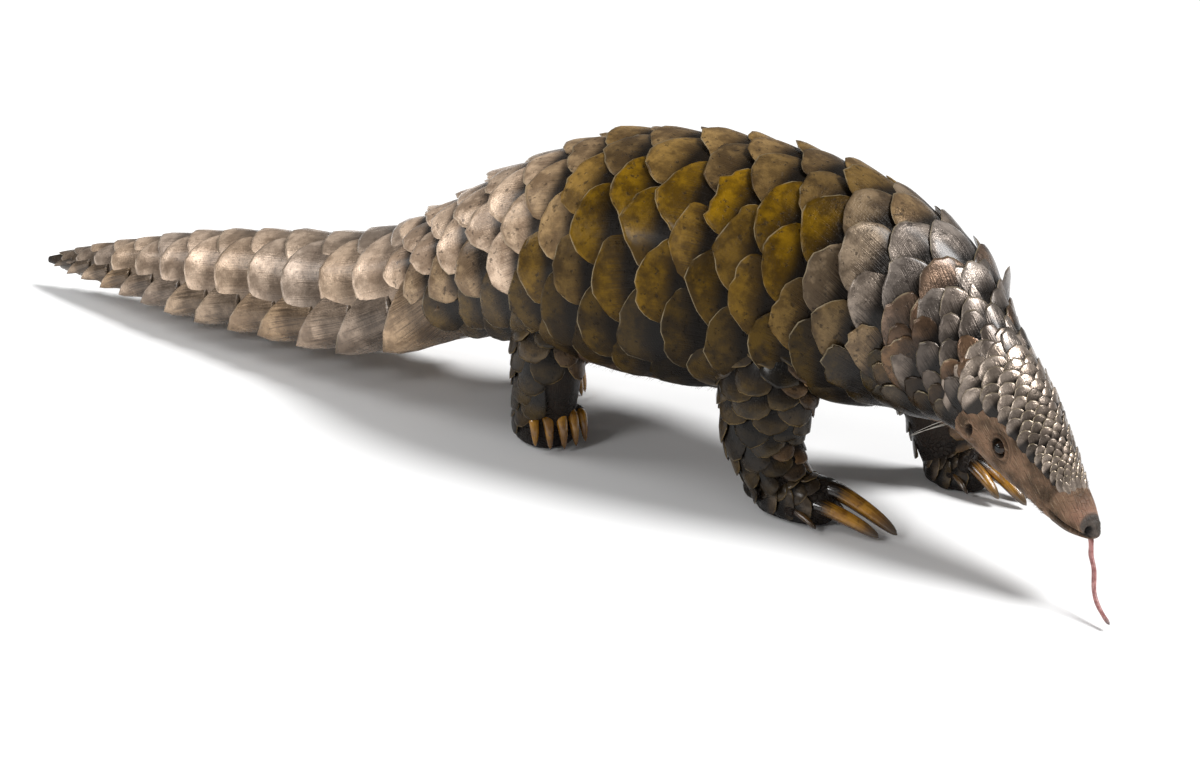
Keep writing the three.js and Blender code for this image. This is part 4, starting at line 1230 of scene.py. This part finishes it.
EYE_S, EYE_ANGLE, EYE_RADIUS, EYE_SUNK = 78, 1.57, 5.0, 2.0
EAR_S, EAR_ANGLE = 101, 1.8
MOUTH_CORNER, MOUTH_DROP, MOUTH_SLOPE = 27, 2.2, 0.05
NOSE_S, NOSE_RADIUS, NOSE_ABOVE = 3.5, 6.9, 2.3
CAP_S = 29  # where the hide under the scales of the head begins
FACE_END = 140
BODY_AROUND = 192
LEG_VOXEL = 0.0019  # in metres
LEAST_HEIGHT = 0.25  # claws and soles stay this far above the floor


def mouth_angle(s):
    """The angle of the line of the mouth, found by halving."""
    low, high = np.full(len(s), math.pi / 2), np.full(len(s), math.pi)
    centre, _, _, up, _ = section(s)
    for _ in range(20):
        middle = (low + high) / 2
        height = np.sum((body_point(s, middle) - centre) * up, axis=1)
        above = height > -(MOUTH_DROP + MOUTH_SLOPE * s)
        low, high = np.where(above, middle, low), np.where(above, high, middle)
    return (low + high) / 2


def hump(value, middle, width):
    return np.exp(-(((value - middle) / width) ** 2))


def from_spot(s, side, spot_s, spot_angle):
    """Distance ahead of and above a spot of the face, measured on the skin."""
    reach = girth_to(np.clip(s, 0, LENGTH), side)
    return spot_s - s, girth_to(np.full(len(s), float(spot_s)), spot_angle) - reach


def eye_distance(s, side):
    ahead, above = from_spot(s, side, EYE_S, EYE_ANGLE)
    return np.hypot(ahead / 1.15, above / 0.95), ahead, above


def ear_distance(s, side):
    ahead, above = from_spot(s, side, EAR_S, EAR_ANGLE)
    return np.hypot(ahead / 0.9, above / 1.25), ahead


def mouth_distance(s, side):
    """How far a place lies below the line of the mouth, and 1 where there is a mouth."""
    inside = (s > -3) & (s < MOUTH_CORNER + 6)
    line = mouth_angle(np.clip(s, 0.1, MOUTH_CORNER + 6))
    drop = girth_to(np.clip(s, 0, LENGTH), side) - girth_to(np.clip(s, 0, LENGTH), line)
    return drop, smooth(MOUTH_CORNER + 3, MOUTH_CORNER - 3, s) * inside


def face_relief(s, angle):
    """How far the face stands out from the plain body line, in mm, with lids, folds, ear holes and lips."""
    side = np.abs(angle)
    reach = girth_to(np.clip(s, 0, LENGTH), side)
    r, ahead, above = eye_distance(s, side)
    out = 1.5 * hump(r, 5.7, 1.0) - 4.6 * smooth(5.2, 4.4, r)
    # upper lid fold, the brow over it, the lower lid's two folds and the tear corner
    out += 0.7 * hump(r, 8.7, 0.9) * smooth(-2, 3, above) - 0.9 * hump(r, 7.3, 0.6) * smooth(-2, 2, above)
    out += 1.3 * hump(r, 12.0, 2.6) * smooth(0, 5, above) - 0.6 * hump(r, 9.8, 0.7) * smooth(0, 4, above)
    out += -0.6 * hump(r, 8.0, 0.7) * smooth(1, -3, above) - 0.45 * hump(r, 10.6, 0.8) * smooth(0, -4, above)
    out += -0.9 * hump(np.hypot(ahead - 7.0, above + 1.6), 0, 1.6)
    # a small ear hole with a low rolled rim
    r, ahead = ear_distance(s, side)
    out += 1.5 * hump(r, 5.2, 1.5) - 4.0 * smooth(4.0, 2.0, r)
    out += 0.6 * hump(r, 9.0, 1.2) * smooth(2, -4, ahead) - 0.4 * hump(r, 7.4, 0.8)
    # lips
    drop, mouth = mouth_distance(s, side)
    out += mouth * (-2.2 * hump(drop, 0, 0.85) + 0.8 * hump(drop, -2.0, 1.1) + 0.8 * hump(drop, 1.8, 1.0))
    # fine folds round the mouth corner, on the cheek and along the cheek's middle
    cheek = smooth(0.9, 1.4, side) * smooth(3.0, 2.3, side)
    folds = 0.3 * np.sin(0.9 * s + 0.35 * reach) * hump(s, 33, 10) * cheek
    folds += 0.3 * np.sin(0.5 * reach + 0.16 * s) * hump(s, 62, 20) * smooth(1.7, 2.2, side)
    folds += 0.5 * hump(reach - 0.06 * s, 27, 3.0) * hump(s, 52, 16)
    return out + folds


def face_black_and_shade(s, side):
    """Dark lid rims, with painted shade in the ear holes, in the folds round the eye and along the line of
    the mouth.
    """
    drop, mouth = mouth_distance(s, side)
    r, _, above = eye_distance(s, side)
    # the lids' own dark rims, and painted shade down the ear holes
    rims = 0.9 * smooth(5.9, 5.0, r) + 0.95 * smooth(4.6, 2.8, ear_distance(s, side)[0])
    # painted shade in the folds over and under the eye and in the brow's crease
    rims += 0.5 * hump(r, 7.3, 0.6) * smooth(-2, 2, above) + 0.4 * hump(r, 8.1, 0.6) * smooth(1, -3, above)
    rims += 0.35 * hump(r, 10.0, 0.7) * smooth(0, 4, above)
    # painted shade along the slit of the mouth
    return rims + 0.95 * mouth * hump(drop, 0, 0.9)


def nose(base, s):
    """Rounds the muzzle's front, swells the pad and sinks the nostrils, and weighs where both lie."""
    centre = section(s)[0]
    round_off = np.sqrt(np.clip(1 - ((3.0 - np.minimum(s, 3.0)) / 7.6) ** 2, 0.0004, 1))[:, None]
    base = centre + (base - centre) * round_off
    pad, back, left, up, _ = (v[0] for v in section(np.array([NOSE_S])))
    ball = pad + up * NOSE_ABOVE
    away = base - ball
    far = np.linalg.norm(away, axis=1)
    swell = np.clip(NOSE_RADIUS - 0.7 - far, 0, 2.4) * smooth(9, 3, s)
    base = base + away / np.maximum(far, 1e-3)[:, None] * swell[:, None]
    pad_weight = smooth(9.2, 8.0, far) * smooth(10, 5, s)
    nostrils = np.zeros(len(s))
    for sign in (1, -1):
        hole = ball - back * 0.66 * NOSE_RADIUS + left * sign * 0.78 * NOSE_RADIUS - up * 0.2
        offset = base - hole
        flat = offset - np.outer(offset @ up, up) * 0.35
        near = np.linalg.norm(flat, axis=1)
        base = base + np.outer(smooth(3.0, 1.2, near) * 2.8, back)
        # the nostrils' holes are painted black: painted shade in them
        nostrils = np.maximum(nostrils, smooth(3.0, 1.9, near))
    return base, pad_weight, nostrils


def body_skin():
    """One closed tube from the nose to the tip of the tail, with close rings on the face."""
    turns = turns_of(BODY_AROUND)
    front = np.array([-4.4, -4.1, -3.6, -2.9, -2.1, -1.3, -0.5])
    rings = np.concatenate([front, np.arange(0.3, 132, 0.8), np.linspace(132, LENGTH - 1.5, 118)])
    # the columns lie closer at the flanks, where the eyes are
    s, angle = grid_of(rings, turns + 0.22 * np.sin(2 * turns))
    side = np.abs(angle)
    under = smooth(-0.06, 0.1, np.interp(np.clip(s, 0, LENGTH), HEM_S, HEM_ANGLE) - side)
    under = np.where(s < CAP_S, 0.0, under)
    under = np.where(s > TAIL_FROM, 1.0, under)
    depth = np.interp(s, [CAP_S, 42, 128, 200, LENGTH - 200, LENGTH], [0, 0.9, 1.0, 3.5, 3.0, 0.5])
    on_face = s < FACE_END
    relief = np.where(on_face, face_relief(np.minimum(s, FACE_END), angle), 0) * (1 - under)
    ripple = 0.5 * np.sin(0.13 * s + 2 * angle) * np.sin(5 * angle) * smooth(150, 220, s) * (1 - under)
    base, pad, nostrils = nose(body_point(s, angle, relief + ripple - under * depth), s)
    tube, faces = loft(base.reshape(len(rings), BODY_AROUND, 3))
    points, faces = capped(tube, faces, BODY_AROUND, [-1.0, 0, 0])
    # each weight, and its value at the nose's and the tail's end
    marks = {
        "dark": np.append(np.maximum(under, smooth(112, 170, s) * 0.75), [0, 1]),
        "pink": np.append(smooth(26, 7, s) * 0.6 * smooth(1.7, 1.0, side), [0.2, 0]),
        "pad": np.append(pad, [1, 0]),
        # the lids' dark rims, and painted shade in the nostrils, ear holes, eye folds and mouth line
        "black": np.append(np.clip(nostrils + face_black_and_shade(s, side) * on_face, 0, 1), [0, 0]),
        "wrinkle": np.append(smooth(60, 20, s) * 0.25 + smooth(120, 180, s) * 0.5, [0.3, 0]),
    }
    lie = np.column_stack([s, girth_to(np.clip(s, 0, LENGTH), side) * np.sign(angle)]) / 1000
    return points, faces, marks, np.vstack([lie, [[0, 0], [LENGTH / 1000, 0]]])


def lump(limb, centre, half, power):
    """A rounded lump of a foot, in the foot's own frame, kept above the floor. A lower power is squarer."""
    rows, around = 24, 36
    u, v = grid_of(np.linspace(0.02, math.pi - 0.02, rows), turns_of(around))
    ball = np.array([np.sin(u) * np.cos(v), np.sin(u) * np.sin(v), np.cos(u)])
    x, y, z = np.sign(ball) * np.abs(ball) ** power
    place = limb.on_floor(
        centre[0] + x * half[0], centre[1] + y * half[1], np.maximum(LEAST_HEIGHT, centre[2] + z * half[2])
    )
    return capped(*loft(place.reshape(rows, around, 3)), around)


def leg_skin(limb):
    """Leg, foot pad and toes run together by remeshing."""
    rows, around = 30, 40
    q, angle = grid_of(np.linspace(0, 1, rows), turns_of(around))
    sunk = 2.6 * smooth(2.3, 1.7, np.abs(angle)) * smooth(0.3, 0.45, q)
    shaft = limb.surface(q * limb.length, angle, -sunk)
    foot = FEET[limb.kind]
    lumps = [
        capped(*loft(shaft.reshape(rows, around, 3)), around),
        lump(limb, foot["middle"], np.array(foot["half"]) - 0.9, 0.85),
    ]
    if foot["heel"]:
        lumps.append(lump(limb, foot["heel"][0], np.array(foot["heel"][1]) - 0.5, 0.9))
    for _, root, _, wide, tall, _, _, toe in foot["claws"]:
        long = toe or 5
        knuckle = (root[0] - long + 1.5, root[1], root[2] - 0.5)
        lumps.append(lump(limb, knuckle, (long, wide / 2 + 1.3, tall / 2 + 1.3), 0.9))
    leg = join([bare_mesh("part", points, faces) for points, faces in lumps])
    face_outward(leg)
    remesh = leg.modifiers.new("run together", "REMESH")
    remesh.mode = "VOXEL"
    remesh.voxel_size = LEG_VOXEL
    bpy.ops.object.modifier_apply(modifier=remesh.name)
    relax = leg.modifiers.new("relax", "SMOOTH")
    relax.factor, relax.iterations = 0.5, 4
    bpy.ops.object.modifier_apply(modifier=relax.name)
    spots = np.array([v.co for v in leg.data.vertices])
    height = spots[:, 2] * 1000
    flat = np.zeros(len(height))
    marks = {
        "dark": flat + 0.95,
        "pink": flat,
        "pad": flat,
        "black": 0.45 + 0.25 * smooth(60, 20, height),
        "wrinkle": smooth(50, 25, height),
    }
    for key, values in marks.items():
        paint(leg, key, values)
    uv_map(leg, "lie", np.column_stack([spots[:, 2], spots[:, 0] + spots[:, 1]]))
    leg.data.materials.append(HIDE)
    return leg


def make_skin():
    """The whole hide in one piece, in place of the solids of flesh."""
    points, faces, marks, lie = body_skin()
    skin = mesh_piece("skin", points, faces, HIDE)
    for key, values in marks.items():
        paint(skin, key, values)
    uv_map(skin, "lie", lie)
    face_outward(skin)
    join([skin, *[leg_skin(limb) for limb in legs]])
    skin.data.shade_smooth()
    flesh = ["head", "neck", "torso", "tail_base", "tail_middle", "tail_end", "ear_left", "ear_right"]
    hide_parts(*flesh, *[limb.name for limb in legs], *[limb.foot for limb in legs])


# Claws, eyes, tongue and hair


def foot_claws(limb):
    """Arched horns, blunt at the point, with a flatter underside."""
    sides, rings = 20, 16
    foot = FEET[limb.kind]
    bend, blunt, narrow = foot["bend"], foot["blunt"], foot["narrow"]
    points, faces, under, plate, small = [], [], [], [], []
    u, angle = grid_of(1 - (1 - np.linspace(0, 1, rings)) ** 1.25, turns_of(sides, 0))
    taper = np.maximum(0.05, (1 - u**blunt) ** 0.55 * (1 - narrow * u))
    lower = np.where(np.sin(angle) < 0, 0.86, 1.0)
    for name, root, length, wide, tall, turn, drop, _ in foot["claws"]:
        reach = -ROOTED + (length + ROOTED) * u
        t = np.maximum(0, reach / length)
        pitch = np.arctan(np.where(t > 0, drop / length * (1 - bend + 2 * bend * t), 0))
        x = root[0] + reach * math.cos(math.radians(turn))
        y = root[1] + reach * math.sin(math.radians(turn))
        z = root[2] - drop * ((1 - bend) * t + bend * t * t)
        rise = tall / 2 * taper * np.sin(angle) * lower
        above = np.maximum(LEAST_HEIGHT, z + rise * np.cos(pitch))
        ring = limb.on_floor(x + rise * np.sin(pitch), y + wide / 2 * taper * np.cos(angle), above)
        first = len(points)
        points += ring.tolist()
        faces += ring_faces(rings, sides, first)
        faces.append([first + k for k in reversed(range(sides))])
        faces.append([first + (rings - 1) * sides + k for k in range(sides)])
        under += list(smooth(0.2, -0.6, np.sin(angle)))
        plate += list(zip(angle * wide / 2 / 1000 + turn, reach / 1000))
        small += [0.85 if name in ("thumb", "fifth") and limb.kind == "fore" else 0.0] * len(u)
    piece = mesh_piece(f"claws_{limb.foot}", np.array(points), faces, CLAW)
    face_outward(piece)
    # the short hind claws show only the middle of the fore claws' colours
    paint(piece, "along", np.tile(u if limb.kind == "fore" else 0.5 + 0.25 * u, len(foot["claws"])))
    paint(piece, "under", under)
    paint(piece, "small", small)
    uv_map(piece, "plate", np.array(plate))
    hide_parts(*[f"{limb.foot}_claw_{claw[0]}" for claw in foot["claws"]])


def eyeball(side):
    """A ball whose pole looks out of the socket, with a low bulge for the cornea."""
    name = "left" if side > 0 else "right"
    middle = body_point(EYE_S, side * EYE_ANGLE, -EYE_SUNK)[0]
    outward = body_point(EYE_S, side * EYE_ANGLE, 2)[0] - middle
    outward /= np.linalg.norm(outward)
    deselect()
    bpy.ops.mesh.primitive_uv_sphere_add(segments=32, ring_count=20, radius=1)
    ball = bpy.context.object
    points = np.array([v.co for v in ball.data.vertices])
    bulge = 1 + 0.06 * smooth(0.75, 0.95, points[:, 2])
    turned = Vector((0, 0, 1)).rotation_difference(Vector(outward)).to_matrix()
    placed = points * bulge[:, None] * (EYE_RADIUS - 0.15) @ np.array(turned).T + middle
    ball.data.vertices.foreach_set("co", metres(placed).ravel())
    ball.name = ball.data.name = f"eyeball_{name}"
    paint(ball, "gaze", np.arccos(np.clip(points[:, 2], -1, 1)))
    ball.data.materials.append(EYE_GLASS)
    ball.data.shade_smooth()
    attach(ball, "root")
    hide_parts(f"eye_{name}")


# from inside the mouth to the tip, near the floor
TONGUE = np.array(
    [
        (154, -71, 50.6),
        (160, -74.3, 48.9),
        (163.9, -76.6, 46.4),
        (165.4, -78.3, 42),
        (166.8, -80.2, 36.5),
        (171.4, -85, 29.3),
        (175, -91, 18.5),
        (179.6, -96, 12.5),
        (186.1, -101, 7.8),
        (192.4, -105.5, 4.6),
    ]
)
TONGUE_RADIUS = 1.85


def spline(knots, steps):
    """A smooth line through the knots."""
    t = np.linspace(0, len(knots) - 1, steps)
    k = np.minimum(t.astype(int), len(knots) - 2)
    f = (t - k)[:, None]
    ends = np.vstack([2 * knots[0] - knots[1], knots, 2 * knots[-1] - knots[-2]])
    p0, p1, p2, p3 = ends[k], ends[k + 1], ends[k + 2], ends[k + 3]
    square, cube = 2 * p0 - 5 * p1 + 4 * p2 - p3, 3 * p1 - p0 - 3 * p2 + p3
    return 0.5 * (2 * p1 + (p2 - p0) * f + square * f**2 + cube * f**3)


def tube_rings(line, radii, sides):
    """Rings of points round a line, with the line's own slowly turning frame."""
    tangent = np.gradient(line, axis=0)
    tangent /= np.linalg.norm(tangent, axis=1)[:, None]
    x = np.cross(tangent, [0.31, 0.84, 0.44])
    x /= np.linalg.norm(x, axis=1)[:, None]
    y = np.cross(tangent, x)
    angle = turns_of(sides, 0)[None, :, None]
    return line[:, None, :] + np.asarray(radii)[:, None, None] * (
        np.cos(angle) * x[:, None, :] + np.sin(angle) * y[:, None, :]
    )


def make_tongue():
    """A thin wavy tube, rounded at the tip."""
    steps, sides = 60, 18
    u = np.linspace(0, 1, steps)
    tip = np.sqrt(np.clip(1 - np.clip((u - 0.94) / 0.062, 0, 1) ** 2, 0.01, 1))
    radii = TONGUE_RADIUS * (1 - 0.25 * u) * tip * (1 + 0.05 * np.sin(34 * u))
    points, faces = loft(tube_rings(spline(TONGUE, steps), radii, sides))
    faces.append([k for k in reversed(range(sides))])
    faces.append([len(points) - sides + k for k in range(sides)])
    piece = mesh_piece("tongue_flesh", points, faces, TONGUE_FLESH)
    face_outward(piece)
    paint(piece, "along", np.repeat(u, sides))
    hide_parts("tongue")


def hairs(name, starts, ways, lengths, radius, pale, roots, droop):
    """Thin tapered hairs, three sides each, bent a little towards the floor."""
    steps, sides = 4, 3
    points, faces = [], []
    u = np.linspace(0, 1, steps)
    for start, way, long in zip(starts, ways, lengths):
        line = start + np.outer(u * long, way) - np.outer(droop * long * u**2, [0, 0, 1.0])
        rings = tube_rings(line, radius * (1 - 0.92 * u), sides)
        first = len(points)
        points += rings.reshape(-1, 3).tolist()
        faces += ring_faces(steps, sides, first)
        faces.append([first, first + 2, first + 1])
        faces.append([first + 3 * sides, first + 3 * sides + 1, first + 3 * sides + 2])
    piece = mesh_piece(name, np.array(points), faces, HAIR)
    paint(piece, "pale", np.full(len(points), pale))
    patch = PATCH * np.column_stack([np.repeat(u, sides), np.tile([0, 0.5, 1], steps)])
    uv_map(piece, "OFBake", np.repeat(roots, steps * sides, axis=0) + np.tile(patch, (len(starts), 1)))


def unit(ways):
    return ways / np.linalg.norm(ways, axis=-1, keepdims=True)


BRISTLE_SPOTS = [(119, 2.28), (123, 2.4), (126, 2.34)]


def bristles():
    """Stiff white hairs behind the cheek."""
    starts, ways, sizes, roots = [], [], [], []
    for side in (1, -1):
        for k, (s, angle) in enumerate(BRISTLE_SPOTS):
            starts.append(body_point(s, side * angle, -0.5)[0])
            ways.append(unit(np.array([-0.80, 0.46 * side, -0.30 - 0.07 * k])))
            sizes.append(30 - 4 * k)
            roots.append(bake_place([s], [side * angle])[0])
    hairs("bristles", starts, ways, sizes, 0.36, 1.0, roots, 0.06)


HAIR_COUNT, HAIR_SEED = 2600, 7


def short_hair():
    """Short hair that breaks the outline of the cheek, throat, chest and belly."""
    rng, count = np.random.default_rng(HAIR_SEED), HAIR_COUNT
    s = 30 + 480 * rng.random(count) ** 2.2
    below = np.interp(s, HEM_S, HEM_ANGLE) + 0.1
    angle = below + (math.pi - below) * rng.random(count)
    angle *= rng.choice([-1, 1], count)
    starts = body_point(s, angle, -0.4)
    ahead = body_point(s + 2, angle, 0.9 + 0.6 * rng.random(count))
    ways = unit(ahead - starts + 0.35 * rng.normal(size=(count, 3)))
    sizes = 2.0 + 2.2 * rng.random(count) + 2.0 * smooth(150, 300, s)
    hairs("short_hair", starts, ways, sizes, 0.11, 0.0, bake_place(s, angle), 0.02)


# Put together

LEG_SEED, FOOT_SEED, SEED_STEP = 100, 200, 20

make_skin()
body_scales()
head_scales()
collar_scales()
tail_scales()
for number, limb in enumerate(legs):
    limb_scales(limb, LEG_SEED + SEED_STEP * number)
    foot_scales(limb, FOOT_SEED + SEED_STEP * number)
    foot_claws(limb)
for side in (1, -1):
    eyeball(side)
make_tongue()
bristles()
short_hair()

# Floor, light and camera, in metres


def floor_material():
    material, b, shader = start_material("studio_floor", Specular_IOR_Level=0.2, Roughness=0.8)
    cloud = b.noise(b.place(), 2.0, 2.0)
    b.plug(shader, "Base Color", b.mix(cloud, hue("f4f4f4"), hue("f8f8f8")))
    return material


def in_scene(name, data):
    thing = bpy.data.objects.new(name, data)
    bpy.context.scene.collection.objects.link(thing)
    return thing


def soft_box(name, place, aim, size, power):
    """A rectangular lamp that shines from its place at the aim."""
    light = bpy.data.lights.new(name, "AREA")
    light.shape = "RECTANGLE"
    light.size, light.size_y = size
    light.energy = power
    lamp = in_scene(name, light)
    lamp.location = place
    lamp.rotation_euler = (Vector(aim) - Vector(place)).to_track_quat("-Z", "Y").to_euler()


FLOOR_SIZE, FLOOR_DROP = 40, 0.0004

deselect()
bpy.ops.mesh.primitive_plane_add(size=FLOOR_SIZE, location=(0, 0, -FLOOR_DROP))
studio_floor = bpy.context.object
studio_floor.name = "studio_floor"
studio_floor.data.materials.append(floor_material())

sky = bpy.data.lights.new("overhead", "SUN")
sky.energy, sky.angle = 3.5, math.radians(22)
in_scene("overhead", sky).rotation_euler = Vector((0.62, 0.3, 1.0)).to_track_quat("Z", "Y").to_euler()
soft_box("front", place=(-0.4, -1.9, 1.1), aim=(0.0, 0.0, 0.12), size=(0.6, 0.45), power=12)
soft_box("tail side", place=(-1.3, -0.6, 1.2), aim=(-0.2, 0.0, 0.1), size=(0.9, 0.8), power=9)

world = bpy.data.worlds.new("studio")
world.use_nodes = True
world.node_tree.nodes["Background"].inputs["Color"].default_value = (1, 1, 1, 1)
world.node_tree.nodes["Background"].inputs["Strength"].default_value = 0.2
bpy.context.scene.world = world

CAMERA_PLACE = Vector((0.9420, -1.5386, 0.6814))
CAMERA_TARGET = Vector((0.1432, -0.1551, 0.100))
CAMERA_ROLL = math.radians(3)
CAMERA_LENS = 76.5
lens = bpy.data.cameras.new("camera")
lens.lens = CAMERA_LENS
lens.sensor_width = 36
lens.clip_end = 50
camera = in_scene("camera", lens)
camera.location = CAMERA_PLACE
look = (CAMERA_TARGET - CAMERA_PLACE).to_track_quat("-Z", "Y")
camera.rotation_euler = (look.to_matrix() @ Matrix.Rotation(CAMERA_ROLL, 3, "Z")).to_euler()
bpy.context.scene.camera = camera
bpy.context.scene.view_settings.view_transform = "Standard"
